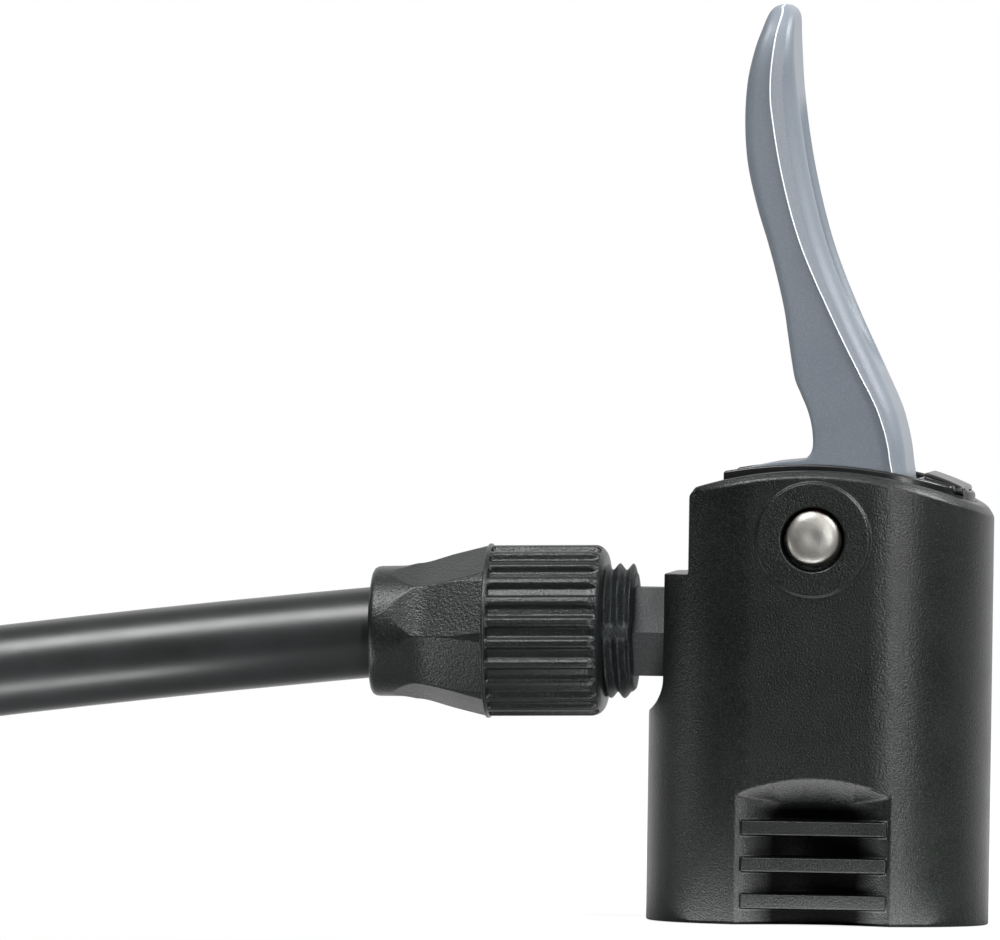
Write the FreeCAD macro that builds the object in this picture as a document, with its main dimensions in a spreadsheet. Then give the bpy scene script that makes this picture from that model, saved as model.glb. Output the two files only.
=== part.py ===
import FreeCAD, Part
import math
import os
import Sketcher
from FreeCAD import Placement, Rotation, Vector

# Thumb-lock head of a portable tyre inflator, with its hose
#
# The head stands on the mouth of the valve bore. The origin is the centre of that mouth, +Z points up
# along the bore and the lever, +X points to the front of the head, and the hose leaves towards -X.
# All sizes are millimetres and degrees.

SIZES = {
    # housing moulding
    "housing_length": 36.0,
    "housing_width": 24.0,
    "housing_top": 47.6,
    "crown_radius": 42.0,
    "crown_edge_bevel": 0.7,
    "back_flat": 16.05,
    "back_upper": 13.3,
    "back_flat_low": 25.4,
    "ledge_height": 36.5,
    "relief_radius": 4.24,
    "relief_low": 21.9,
    "boss_radius": 6.0,
    "boss_proud": 0.35,
    "rivet_recess_radius": 3.36,
    "rivet_recess_depth": 2.0,
    # finger grip on each side
    "grip_centre": 0.5,
    "grip_half_length": 8.5,
    "grip_depth": 2.5,
    "grip_top": 15.4,
    "grip_ceiling_drop": 1.8,
    "rib_pitch": 3.85,
    "rib_height": 1.6,
    "rib_low": 1.65,
    "rib_recess": 0.15,
    # lever slot and its liner
    "slot_half_width": 7.3,
    "liner_wall": 1.6,
    "liner_back": 9.8,
    "liner_front": 16.0,
    "liner_front_block": 10.4,
    "liner_low": 35.0,
    "lip_top": 48.2,
    "lip_radius": 50.0,
    "block_crown": 0.7,
    # pivot and cam
    "pivot_height": 40.4,
    "rivet_radius": 2.5,
    "rivet_head_radius": 3.0,
    "rivet_head_proud": 0.85,
    "cam_rest": 6.8,
    "cam_lift": 2.4,
    "lever_fold": 79.0,
    "lever_half_width": 6.95,
    "lobe_sweep": 11.5,
    "hub_sweep": 9.75,
    # valve bore and the stack in it
    "bore_radius": 7.55,
    "plunger_radius": 7.5,
    "plunger_top": 33.5,
    "plunger_low": 17.0,
    "waist_radius": 5.4,
    "head_land_low": 28.2,
    "foot_top": 19.6,
    "o_ring_height": 29.7,
    "o_ring_wire": 1.8,
    "valve_hole": 4.15,
    "valve_mouth": 4.1,
    "gland_bore": 4.0,
    "gland_radius": 7.3,
    "washer_thick": 0.9,
    "cap_height": 4.7,
    "cap_radius": 8.6,
    "guide_low": 20.2,
    "guide_thick": 1.0,
    "spring_chamber": 2.9,
    "spring_top": 27.4,
    "spring_wire": 0.5,
    "spring_turns": 3.0,
    "depressor_tip": 18.4,
    # air stem, hose nut and clamping parts
    "stem_height": 30.2,
    "hex_across_flats": 9.5,
    "hex_back": 19.2,
    "stem_thread_radius": 6.8,
    "stem_thread_end": 31.0,
    "spigot_radius": 3.2,
    "spigot_end": 10.8,
    "barb_radius": 2.7,
    "barb_end": 42.5,
    "stem_bore": 1.5,
    "drop_bore": 1.0,
    "nut_front": 22.15,
    "nut_back": 47.3,
    "nut_grip_radius": 9.15,
    "nut_flange_radius": 9.35,
    "nut_flange_back": 35.1,
    "nut_flange_width": 0.9,
    "nut_collar_radius": 6.95,
    "nut_facet_slope": 13.1,
    "nut_facet_count": 8.0,
    "flute_count": 24.0,
    "flute_wall_top": 0.95,
    "flute_wall_root": 1.55,
    "flute_depth": 0.6,
    "flute_front": 23.0,
    # hose
    "hose_radius": 4.75,
    "hose_bore": 2.75,
    "hose_start": 44.0,
    "hose_slope": 6.1,
    # put-away coil and the screwed end
    "coil_radius": 45.0,
    "coil_centre_back": 174.0,
    "coil_side_shift": 8.0,
    "coil_low": 5.6,
    "layer_pitch": 10.1,
    "coil_end_run": 9.5,
    "coil_tail_run": 29.0,
    "tie_width": 8.0,
    "tie_thick": 0.6,
    "ferrule_radius": 5.5,
    "end_sleeve_front": 2.6,
    "end_neck_radius": 2.4,
    "end_nut_across_flats": 9.6,
    "end_nut_length": 11.0,
    "end_nut_wall": 1.4,
    "end_thread_radius": 3.6,
    "end_head_length": 1.1,
    "end_thread_length": 8.0,
    "end_undercut_radius": 4.0,
}

doc = FreeCAD.newDocument("inflator_head")
sheet = doc.addObject("Spreadsheet::Sheet", "sizes")
for row, (alias, number) in enumerate(SIZES.items(), start=1):
    sheet.set(f"A{row}", alias)
    sheet.set(f"B{row}", str(number))
    sheet.setAlias(f"B{row}", alias)
doc.recompute()


class Size:
    """A number together with the sheet expression that it comes from."""

    def __init__(self, value, text):
        self.value = float(value)
        self.text = text

    @staticmethod
    def of(item):
        if isinstance(item, Size):
            return item
        return Size(item, f"({float(item)!r})")

    def __add__(self, other):
        other = Size.of(other)
        return Size(self.value + other.value, f"({self.text} + {other.text})")

    def __sub__(self, other):
        other = Size.of(other)
        return Size(self.value - other.value, f"({self.text} - {other.text})")

    def __mul__(self, other):
        other = Size.of(other)
        return Size(self.value * other.value, f"({self.text} * {other.text})")

    def __truediv__(self, other):
        other = Size.of(other)
        return Size(self.value / other.value, f"({self.text} / {other.text})")

    def __neg__(self):
        return Size(-self.value, f"(0 - {self.text})")

    def __radd__(self, other):
        return Size.of(other) + self

    def __rsub__(self, other):
        return Size.of(other) - self

    def __rmul__(self, other):
        return Size.of(other) * self


class Sheet:
    """Gives each alias of the sheet as a Size."""

    def __getattr__(self, alias):
        return Size(sheet.get(alias), f"sizes.{alias}")


s = Sheet()


def root_of(size):
    size = Size.of(size)
    return Size(math.sqrt(size.value), f"sqrt({size.text})")


def sine(degrees):
    degrees = Size.of(degrees)
    return Size(math.sin(math.radians(degrees.value)), f"sin({degrees.text} * 1deg)")


def cosine(degrees):
    degrees = Size.of(degrees)
    return Size(math.cos(math.radians(degrees.value)), f"cos({degrees.text} * 1deg)")


def bind(obj, path, size):
    """Ties a property to its expression, and returns the object."""
    obj.setExpression(path, Size.of(size).text)
    return obj


# Sketch outlines
# An outline is a start point and steps. A step is a line to a point, or an arc to a point with a
# radius, whose centre lies left (1) or right (-1) of the way from one point to the next.


def line(x, y):
    return (Size.of(x), Size.of(y), None, 0)


def arc(x, y, radius, side):
    return (Size.of(x), Size.of(y), Size.of(radius), side)


def arc_curve(start, end, radius, side):
    """The short arc between two points, with its centre on the given side of the way."""
    chord = end - start
    half = chord.Length / 2
    rise = math.sqrt(max(radius * radius - half * half, 0.0))
    left = Vector(-chord.y, chord.x, 0).normalize()
    centre = (start + end) * 0.5 + left * rise * side
    first, last = (start, end) if side > 0 else (end, start)
    angles = [math.atan2(p.y - centre.y, p.x - centre.x) for p in (first, last)]
    return Part.ArcOfCircle(Part.Circle(centre, Vector(0, 0, 1), radius), angles[0], angles[1])


def outline(sketch, x, y, *steps):
    """Draws a closed outline whose every corner and radius is bound to the sheet."""
    corners = [(Size.of(x), Size.of(y))] + [(step[0], step[1]) for step in steps[:-1]]
    count = len(steps)
    first = sketch.GeometryCount
    curves = []
    for index, step in enumerate(steps):
        start = Vector(corners[index][0].value, corners[index][1].value, 0)
        goal = corners[(index + 1) % count]
        end = Vector(goal[0].value, goal[1].value, 0)
        if step[2] is None:
            curves.append(Part.LineSegment(start, end))
        else:
            curves.append(arc_curve(start, end, step[2].value, step[3]))
    sketch.addGeometry(curves, False)
    head = [2 if step[3] < 0 else 1 for step in steps]
    rules = []
    ties = []
    offset = sketch.ConstraintCount
    for index in range(count):
        after = (index + 1) % count
        end = 3 - head[index]
        rules.append(Sketcher.Constraint("Coincident", first + index, end, first + after, head[after]))
        for kind, size in zip(("DistanceX", "DistanceY"), corners[index], strict=True):
            ties.append((offset + len(rules), size))
            rules.append(
                Sketcher.Constraint(kind, -1, 1, first + index, head[index], size.value)
            )
        if steps[index][2] is not None:
            ties.append((offset + len(rules), steps[index][2]))
            rules.append(Sketcher.Constraint("Radius", first + index, steps[index][2].value))
    sketch.addConstraint(rules)
    for index, size in ties:
        sketch.setExpression(f"Constraints[{index}]", size.text)
    return sketch


def circle(sketch, x, y, radius):
    """Draws a full circle bound to the sheet."""
    x, y, radius = Size.of(x), Size.of(y), Size.of(radius)
    index = sketch.GeometryCount
    offset = sketch.ConstraintCount
    sketch.addGeometry(Part.Circle(Vector(x.value, y.value, 0), Vector(0, 0, 1), radius.value), False)
    sketch.addConstraint(
        [
            Sketcher.Constraint("DistanceX", -1, 1, index, 3, x.value),
            Sketcher.Constraint("DistanceY", -1, 1, index, 3, y.value),
            Sketcher.Constraint("Radius", index, radius.value),
        ]
    )
    for step, size in enumerate((x, y, radius)):
        sketch.setExpression(f"Constraints[{offset + step}]", size.text)
    return sketch


# Bodies and features

parts = {}


def new_body(name, x=None, y=None, z=None):
    """A body with its own place, where each given coordinate is bound to the sheet."""
    body = doc.addObject("PartDesign::Body", name)
    body.Label = name
    for axis, size in (("x", x), ("y", y), ("z", z)):
        if size is not None:
            bind(body, f"Placement.Base.{axis}", size)
    parts[name] = body
    return body


def sketch_on(body, name, plane, lift=0):
    """A sketch on one of the body's own origin planes, lifted along its normal."""
    sketch = body.newObject("Sketcher::SketchObject", f"{body.Name}_{name}")
    support = [item for item in body.Origin.OriginFeatures if item.Role == plane][0]
    sketch.AttachmentSupport = [(support, "")]
    sketch.MapMode = "FlatFace"
    if lift != 0:
        bind(sketch, "AttachmentOffset.Base.z", lift)
    return sketch


def checked(body, feature, grows):
    """Recomputes, and stops if the feature did not add or remove material."""
    before = body.Tip.Shape.Volume if body.Tip and body.Tip != feature else 0.0
    base = feature.BaseFeature
    if base is not None:
        before = base.Shape.Volume
    doc.recompute()
    after = feature.Shape.Volume
    if (after - before) * (1 if grows else -1) <= 0:
        raise ValueError(f"{feature.Name} did not change the volume: {before} to {after}")
    return feature


def pad(sketch, length, both=False, back=False):
    body = sketch.getParent()
    feature = body.newObject("PartDesign::Pad", f"{sketch.Name}_pad")
    feature.Profile = sketch
    feature.SideType = "Symmetric" if both else "One side"
    feature.Reversed = back
    bind(feature, "Length", length)
    sketch.Visibility = False
    return checked(body, feature, True)


def pocket(sketch, length=None, both=False, back=False):
    body = sketch.getParent()
    feature = body.newObject("PartDesign::Pocket", f"{sketch.Name}_pocket")
    feature.Profile = sketch
    feature.SideType = "Symmetric" if both else "One side"
    feature.Reversed = back
    if length is None:
        feature.Type = "ThroughAll"
    else:
        bind(feature, "Length", length)
    sketch.Visibility = False
    return checked(body, feature, False)


def revolve(sketch, axis="V_Axis", cut=False):
    body = sketch.getParent()
    kind = "Groove" if cut else "Revolution"
    feature = body.newObject(f"PartDesign::{kind}", f"{sketch.Name}_{kind.lower()}")
    feature.Profile = sketch
    feature.ReferenceAxis = (sketch, [axis])
    feature.Angle = 360
    sketch.Visibility = False
    return checked(body, feature, not cut)


def around(feature, sketch, axis, count):
    """Repeats a feature evenly round an axis of its sketch."""
    body = sketch.getParent()
    pattern = body.newObject("PartDesign::PolarPattern", f"{feature.Name}_ring")
    pattern.Originals = [feature]
    pattern.Axis = (sketch, [axis])
    pattern.Angle = 360
    bind(pattern, "Occurrences", count)
    body.Tip = pattern
    doc.recompute()
    return pattern


def dress_edges(body, wanted, size, name, round_off=False):
    """Bevels, or rounds off, the edges of the tip that pass the given test."""
    base = body.Tip
    names = [f"Edge{n}" for n, edge in enumerate(base.Shape.Edges, start=1) if wanted(edge)]
    if not names:
        raise ValueError(f"{name}: no edge to dress")
    kind = "Fillet" if round_off else "Chamfer"
    feature = body.newObject(f"PartDesign::{kind}", f"{body.Name}_{name}")
    feature.Base = (base, names)
    bind(feature, "Radius" if round_off else "Size", size)
    return checked_edges(feature)


def checked_edges(feature):
    doc.recompute()
    if feature.Shape.isNull() or not feature.Shape.isValid():
        raise ValueError(f"{feature.Name} failed")
    return feature


def middle(edge):
    """The point halfway along an edge."""
    return edge.valueAt((edge.FirstParameter + edge.LastParameter) / 2)


def ring_outline(sketch, low, high, inner, outer):
    """A rectangle in radius and height, for a plain turned ring."""
    corners = [line(outer, low), line(outer, high), line(inner, high), line(inner, low)]
    return outline(sketch, inner, low, *corners)


# Housing moulding
# A stadium in plan, crowned on top, with a stepped back that lets the lever drop onto the hose side.

housing = new_body("housing")
end_radius = s.housing_width / 2
end_centre = s.housing_length / 2 - end_radius
far_out = 60.0


def stadium(sketch, back, front, radius):
    """A slot shape whose end centres lie at back and front, drawn in quarter arcs."""
    return outline(
        sketch,
        back,
        -radius,
        line(front, -radius),
        arc(front + radius, 0.0, radius, 1),
        arc(front, radius, radius, 1),
        line(back, radius),
        arc(back - radius, 0.0, radius, 1),
        arc(back, -radius, radius, 1),
    )


plan = stadium(sketch_on(housing, "plan", "XY_Plane"), -end_centre, end_centre, end_radius)
pad(plan, s.housing_top + 1)


def crown_height(x, top, radius, apex=0.0):
    """Height of a crown arc at x."""
    x = Size.of(x) - apex
    return top - radius + root_of(radius * radius - x * x)


crown = sketch_on(housing, "crown", "XZ_Plane")
edge = end_radius * 2
crown_end = crown_height(edge, s.housing_top, s.crown_radius)
outline(
    crown,
    -edge,
    far_out,
    line(-edge, crown_end),
    arc(edge, crown_end, s.crown_radius, -1),
    line(edge, far_out),
    line(-edge, far_out),
)
pocket(crown, s.housing_width * 2, both=True)

relief = sketch_on(housing, "back_relief", "XZ_Plane")
outline(
    relief,
    -edge,
    far_out,
    line(-s.back_upper, far_out),
    line(-s.back_upper, s.ledge_height),
    line(-s.back_flat, s.ledge_height),
    line(-s.back_flat, s.back_flat_low),
    arc(-s.housing_length / 2, s.relief_low, s.relief_radius, -1),
    line(-edge, s.relief_low),
    line(-edge, far_out),
)
pocket(relief, s.housing_width * 2, both=True)

crown_floor = 43.0
dress_edges(
    housing,
    lambda item: middle(item).z > crown_floor and abs(item.tangentAt(item.FirstParameter).z) < 0.6,
    s.crown_edge_bevel,
    "crown_bevel",
)

boss = sketch_on(housing, "boss", "XZ_Plane")
circle(boss, 0.0, s.pivot_height, s.boss_radius)
pad(boss, s.housing_width + s.boss_proud * 2, both=True)

boss_face = s.housing_width / 2 + s.boss_proud
for side, name in ((1, "near"), (-1, "far")):
    recess = sketch_on(housing, f"rivet_recess_{name}", "XZ_Plane", boss_face * side)
    circle(recess, 0.0, s.pivot_height, s.rivet_recess_radius)
    pocket(recess, s.rivet_recess_depth, back=side < 0)

# Finger grips: a round scoop with a sloping ceiling, crossed by three straight ribs
scoop_radius = (s.grip_half_length * s.grip_half_length + s.grip_depth * s.grip_depth) / (s.grip_depth * 2)
scoop_axis = s.housing_width / 2 - s.grip_depth + scoop_radius
rib_reach = s.grip_half_length - 0.8
for side, name in ((-1, "near"), (1, "far")):
    scoop = sketch_on(housing, f"scoop_{name}", "YZ_Plane", s.grip_centre)
    bind(scoop, "AttachmentOffset.Base.x", scoop_axis * side)
    outline(
        scoop,
        0.0,
        -5.0,
        line(scoop_radius, -5.0),
        line(scoop_radius, s.grip_top - s.grip_ceiling_drop),
        line(scoop_radius - s.grip_depth, s.grip_top),
        line(0.0, s.grip_top),
        line(0.0, -5.0),
    )
    revolve(scoop, cut=True)
    face = s.housing_width / 2 - s.rib_recess
    ribs = sketch_on(housing, f"ribs_{name}", "XZ_Plane", -face * side)
    for number in range(3):
        low = s.rib_low + s.rib_pitch * number
        outline(
            ribs,
            s.grip_centre - rib_reach,
            low,
            line(s.grip_centre + rib_reach, low),
            line(s.grip_centre + rib_reach, low + s.rib_height),
            line(s.grip_centre - rib_reach, low + s.rib_height),
            line(s.grip_centre - rib_reach, low),
        )
    pad(ribs, s.grip_depth + 0.4, back=side < 0)


def liner_plan(sketch, gap):
    """Plan of the slot liner, square at the back and rounded at the front."""
    radius = s.slot_half_width + s.liner_wall + gap
    centre = s.liner_front + gap - radius
    return outline(
        sketch,
        -s.liner_back - gap,
        -radius,
        line(centre, -radius),
        arc(centre + radius, 0.0, radius, 1),
        arc(centre, radius, radius, 1),
        line(-s.liner_back - gap, radius),
        line(-s.liner_back - gap, -radius),
    )


liner_seat = sketch_on(housing, "liner_seat", "XY_Plane", far_out)
liner_plan(liner_seat, 0.05)
pocket(liner_seat, far_out - s.liner_low)

# Room for the cam hub: two arcs about the pivot, a floor, and the open back
cavity_floor = s.plunger_top - s.cam_lift - 0.2
floor_drop = s.pivot_height - cavity_floor
sill_drop = s.pivot_height - s.ledge_height
hub_x = root_of(s.hub_sweep * s.hub_sweep - floor_drop * floor_drop)
lobe_x = root_of(s.lobe_sweep * s.lobe_sweep - floor_drop * floor_drop)
sill_x = root_of(s.lobe_sweep * s.lobe_sweep - sill_drop * sill_drop)
cavity = sketch_on(housing, "cam_room", "XZ_Plane")
outline(
    cavity,
    -edge,
    far_out,
    line(-edge, s.ledge_height),
    line(-sill_x, s.ledge_height),
    arc(-lobe_x, cavity_floor, s.lobe_sweep, 1),
    line(hub_x, cavity_floor),
    arc(s.hub_sweep, s.pivot_height, s.hub_sweep, 1),
    line(s.hub_sweep, far_out),
    line(-edge, far_out),
)
pocket(cavity, (s.slot_half_width + 0.1) * 2, both=True)

rivet_hole = sketch_on(housing, "rivet_hole", "XZ_Plane")
circle(rivet_hole, 0.0, s.pivot_height, s.rivet_radius)
pocket(rivet_hole, s.housing_width * 2, both=True)

bore = sketch_on(housing, "bore", "XY_Plane")
circle(bore, 0.0, 0.0, s.bore_radius)
pocket(bore, s.plunger_top + 0.7, back=True)

cap_seat = sketch_on(housing, "cap_seat", "XY_Plane")
circle(cap_seat, 0.0, 0.0, s.cap_radius)
pocket(cap_seat, s.cap_height, back=True)

spigot_hole = sketch_on(housing, "spigot_hole", "YZ_Plane", -s.back_flat - 1)
circle(spigot_hole, 0.0, s.stem_height, s.spigot_radius)
pocket(spigot_hole, s.back_flat + 1 - s.spigot_end, back=True)

# The sloping air way from the stem to the gallery round the plunger's waist
air_way = sketch_on(housing, "air_way", "XY_Plane")
air_way_tilt = 36.6
air_way_start = Vector(-SIZES["spigot_end"] - 0.5, 0, SIZES["stem_height"] - 0.2)
air_way.AttachmentOffset = Placement(air_way_start, Rotation(Vector(0, 1, 0), -air_way_tilt))
circle(air_way, 0.0, 0.0, s.drop_bore)
pocket(air_way, 9.2)

# Slot liner: two cheeks joined by a crowned block in front of the lever

liner = new_body("slot_liner")
blank = sketch_on(liner, "blank", "XY_Plane", s.liner_low)
liner_plan(blank, -0.02)
pad(blank, far_out - s.liner_low)
lip_apex = -0.6
lip_end = crown_height(edge, s.lip_top, s.lip_radius, lip_apex)
lip_start = crown_height(-edge, s.lip_top, s.lip_radius, lip_apex)
lip = sketch_on(liner, "lip", "XZ_Plane")
outline(
    lip,
    -edge,
    far_out + 5,
    line(-edge, lip_start),
    arc(edge, lip_end, s.lip_radius, -1),
    line(edge, far_out + 5),
    line(-edge, far_out + 5),
)
pocket(lip, s.housing_width * 2, both=True)
gap_plan = sketch_on(liner, "lever_gap", "XY_Plane", far_out)
outline(
    gap_plan,
    -edge,
    -s.slot_half_width,
    line(s.liner_front_block, -s.slot_half_width),
    line(s.liner_front_block, s.slot_half_width),
    line(-edge, s.slot_half_width),
    line(-edge, -s.slot_half_width),
)
pocket(gap_plan)
crown_block = sketch_on(liner, "crown_block", "XZ_Plane")
block_back = s.liner_front_block + 0.7
block_front = s.liner_front - 0.8
outline(
    crown_block,
    block_back,
    crown_height(block_back, s.lip_top, s.lip_radius, lip_apex) - 0.5,
    line(block_front, crown_height(block_front, s.lip_top, s.lip_radius, lip_apex) - 0.5),
    line(block_front, crown_height(block_front, s.lip_top, s.lip_radius, lip_apex) + 0.35),
    arc(
        block_back,
        crown_height(block_back, s.lip_top, s.lip_radius, lip_apex) + s.block_crown,
        s.lip_radius / 2,
        1,
    ),
    line(block_back, crown_height(block_back, s.lip_top, s.lip_radius, lip_apex) - 0.5),
)
pad(crown_block, s.slot_half_width * 1.5, both=True)
liner_hole = sketch_on(liner, "rivet_hole", "XZ_Plane")
circle(liner_hole, 0.0, s.pivot_height, s.rivet_radius)
pocket(liner_hole, s.housing_width * 2, both=True)

# Lever with its cam hub
# The cam is the involute of a circle, so that it lifts the plunger evenly with the fold. It is drawn
# in four arcs whose radius is the cam's reach, and it ends in flats for the open and locked positions.

lever = new_body("lever")
lift_rate = s.cam_lift / (s.lever_fold * (math.pi / 180))


def cam_point(turn):
    """The cam's touching point after the lever has folded by the given angle."""
    turn = Size.of(turn)
    reach = s.cam_rest + lift_rate * turn * (math.pi / 180)
    x = -(reach * sine(turn)) - lift_rate * cosine(turn)
    z = s.pivot_height - reach * cosine(turn) + lift_rate * sine(turn)
    return x, z


cam_steps = 4
cam_arcs = []
for number in range(cam_steps, 0, -1):
    x, z = cam_point(s.lever_fold * ((number - 1) / cam_steps))
    cam_arcs.append(arc(x, z, s.cam_rest + s.cam_lift * ((number - 0.5) / cam_steps), 1))
lock_x, lock_z = cam_point(s.lever_fold)
lock_flat = 3.2
flat_x = lock_x - cosine(s.lever_fold) * lock_flat
flat_z = lock_z + sine(s.lever_fold) * lock_flat
open_flat = 5.1

side_view = sketch_on(lever, "side_view", "XZ_Plane")
outline(
    side_view,
    -3.68,
    94.7,
    arc(-6.2, 95.0, 1.32, 1),
    arc(-6.92, 74.76, 30.4, 1),
    line(-5.55, 70.9),
    arc(-2.9, 58.0, 59.0, -1),
    line(-2.75, 57.2),
    line(-1.25, 54.0),
    arc(-0.65, 51.2, 6.8, -1),
    line(-0.65, 49.9),
    arc(-1.95, 48.62, 1.35, -1),
    arc(-7.9, 47.6, 24.0, 1),
    arc(flat_x, flat_z, 3.2, 1),
    line(lock_x, lock_z),
    *cam_arcs,
    line(cam_point(0)[0] + open_flat, cam_point(0)[1]),
    arc(9.2, s.pivot_height - 0.5, 8.4, 1),
    line(9.35, 45.4),
    line(9.0, 49.3),
    arc(7.6, 54.85, 15.0, 1),
    line(3.4, 63.7),
    arc(-3.62, 91.5, 74.0, -1),
    line(-3.68, 94.7),
)
pad(side_view, s.lever_half_width * 2, both=True)

lever_hole = sketch_on(lever, "pivot_hole", "XZ_Plane")
circle(lever_hole, 0.0, s.pivot_height, s.rivet_radius + 0.05)
pocket(lever_hole, s.housing_width * 2, both=True)

# Dished thumb rest in the front of the lever
dish = sketch_on(lever, "thumb_dish", "XZ_Plane")
outline(
    dish,
    -3.05,
    86.3,
    arc(6.55, 57.0, 34.0, 1),
    line(20.0, 57.0),
    line(20.0, 86.3),
    line(-3.05, 86.3),
)
pocket(dish, s.lever_half_width * 1.25, both=True)


def lever_edge(front):
    """Test for the lever's long outer edges above the slot, on its front or its back."""

    def wanted(item):
        at = middle(item)
        outer = abs(abs(at.y) - SIZES["lever_half_width"]) < 0.01
        flat = abs(item.tangentAt(item.FirstParameter).y) < 0.01
        split = -3.7 if at.z > 90 else (at.z - 78) * -0.33 - 4.5
        return outer and flat and at.z > 50.5 and (at.x > split) == front

    return wanted


dress_edges(lever, lever_edge(True), 2.1, "front_round", round_off=True)

# Pivot rivet: one shank with a bevelled head at each end

rivet = new_body("pivot_rivet", z=s.pivot_height)
rivet_half = sketch_on(rivet, "profile", "YZ_Plane")
head_seat = s.housing_width / 2 + s.boss_proud - s.rivet_recess_depth
head_edge = s.housing_width / 2 - 0.1
head_top = s.housing_width / 2 + s.rivet_head_proud
head_flat = s.rivet_head_radius * 0.55
outline(
    rivet_half,
    -head_top,
    0.0,
    line(head_top, 0.0),
    line(head_top, head_flat),
    line(head_edge, s.rivet_head_radius),
    line(head_seat, s.rivet_head_radius),
    line(head_seat, s.rivet_radius),
    line(-head_seat, s.rivet_radius),
    line(-head_seat, s.rivet_head_radius),
    line(-head_edge, s.rivet_head_radius),
    line(-head_top, head_flat),
    line(-head_top, 0.0),
)
revolve(rivet_half, "H_Axis")

# Plunger: a headed tube with an O-ring groove, a waist for the air, and a foot on the gland

plunger = new_body("plunger")
groove_floor = s.plunger_radius - s.o_ring_wire * 0.8
turned = sketch_on(plunger, "profile", "XZ_Plane")
outline(
    turned,
    0.0,
    s.spring_top,
    line(s.spring_chamber, s.spring_top),
    line(s.spring_chamber, s.guide_low + s.guide_thick),
    line(s.valve_hole, s.guide_low + s.guide_thick),
    line(s.valve_hole, s.plunger_low),
    line(s.gland_radius, s.plunger_low),
    line(s.gland_radius, s.foot_top),
    line(s.waist_radius, s.foot_top),
    line(s.waist_radius, s.head_land_low),
    line(s.plunger_radius, s.head_land_low),
    line(s.plunger_radius, s.o_ring_height - s.o_ring_wire / 2 - 0.05),
    line(groove_floor, s.o_ring_height - s.o_ring_wire / 2 - 0.05),
    line(groove_floor, s.o_ring_height + s.o_ring_wire / 2 + 0.05),
    line(s.plunger_radius, s.o_ring_height + s.o_ring_wire / 2 + 0.05),
    line(s.plunger_radius, s.plunger_top),
    line(0.0, s.plunger_top),
    line(0.0, s.spring_top),
)
revolve(turned)
cross = sketch_on(plunger, "air_slot", "YZ_Plane")
air_slot_half = 1.1
air_slot_low = s.foot_top + 2.2
ring_outline(cross, air_slot_low, air_slot_low + air_slot_half * 2, -air_slot_half, air_slot_half)
pocket(cross, s.plunger_radius * 2.2, both=True)


def turned_ring(name, low, high, inner, outer):
    """A plain turned ring round the valve axis."""
    body = new_body(name)
    sketch = sketch_on(body, "profile", "XZ_Plane")
    ring_outline(sketch, low, high, inner, outer)
    revolve(sketch)
    return body


# Square-section ring squeezed between its groove and the bore
o_ring = new_body("plunger_o_ring")
o_ring_outline = sketch_on(o_ring, "profile", "XZ_Plane")
ring_outline(
    o_ring_outline,
    s.o_ring_height - s.o_ring_wire / 2,
    s.o_ring_height + s.o_ring_wire / 2,
    groove_floor,
    s.plunger_radius + 0.04,
)
revolve(o_ring_outline)

upper_low = s.plunger_low - s.washer_thick
turned_ring("gland_washer_upper", upper_low, s.plunger_low, s.valve_hole, s.gland_radius)

# Rubber gland that the plunger squeezes onto the tyre's valve, widened where the valve comes in
gland = new_body("rubber_gland")
gland_outline = sketch_on(gland, "profile", "XZ_Plane")
lead_in = 0.5
outline(
    gland_outline,
    s.gland_bore + lead_in,
    s.cap_height,
    line(s.gland_radius, s.cap_height),
    line(s.gland_radius, upper_low),
    line(s.gland_bore, upper_low),
    line(s.gland_bore, s.cap_height + lead_in * 2),
    line(s.gland_bore + lead_in, s.cap_height),
)
revolve(gland_outline)

# Screwed cap, flush with the base, with the valve mouth and two key holes
cap = new_body("valve_cap")
cap_outline = sketch_on(cap, "profile", "XZ_Plane")
ring_outline(cap_outline, 0.0, s.cap_height, s.valve_mouth, s.cap_radius - 0.03)
revolve(cap_outline)
key_hole = sketch_on(cap, "key_hole", "XY_Plane")
circle(key_hole, (s.valve_mouth + s.cap_radius) / 2, 0.0, 0.75)
around(pocket(key_hole, s.cap_height / 2, back=True), key_hole, "N_Axis", 2)

turned_ring(
    "depressor_guide", s.guide_low, s.guide_low + s.guide_thick, 1.05, s.valve_hole - 0.02
)

depressor = new_body("depressor_pin")
depressor_outline = sketch_on(depressor, "profile", "XZ_Plane")
collar_low = s.guide_low + s.guide_thick + 0.05
outline(
    depressor_outline,
    0.0,
    s.depressor_tip,
    line(0.7, s.depressor_tip),
    line(1.0, s.depressor_tip + 0.5),
    line(1.0, collar_low),
    line(2.5, collar_low),
    line(2.5, collar_low + 0.9),
    line(0.9, collar_low + 0.9),
    line(0.9, collar_low + 3.0),
    line(0.0, collar_low + 3.0),
    line(0.0, s.depressor_tip),
)
revolve(depressor_outline)

# Pieces turned about a level axis are drawn on the axis and then raised to it

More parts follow.
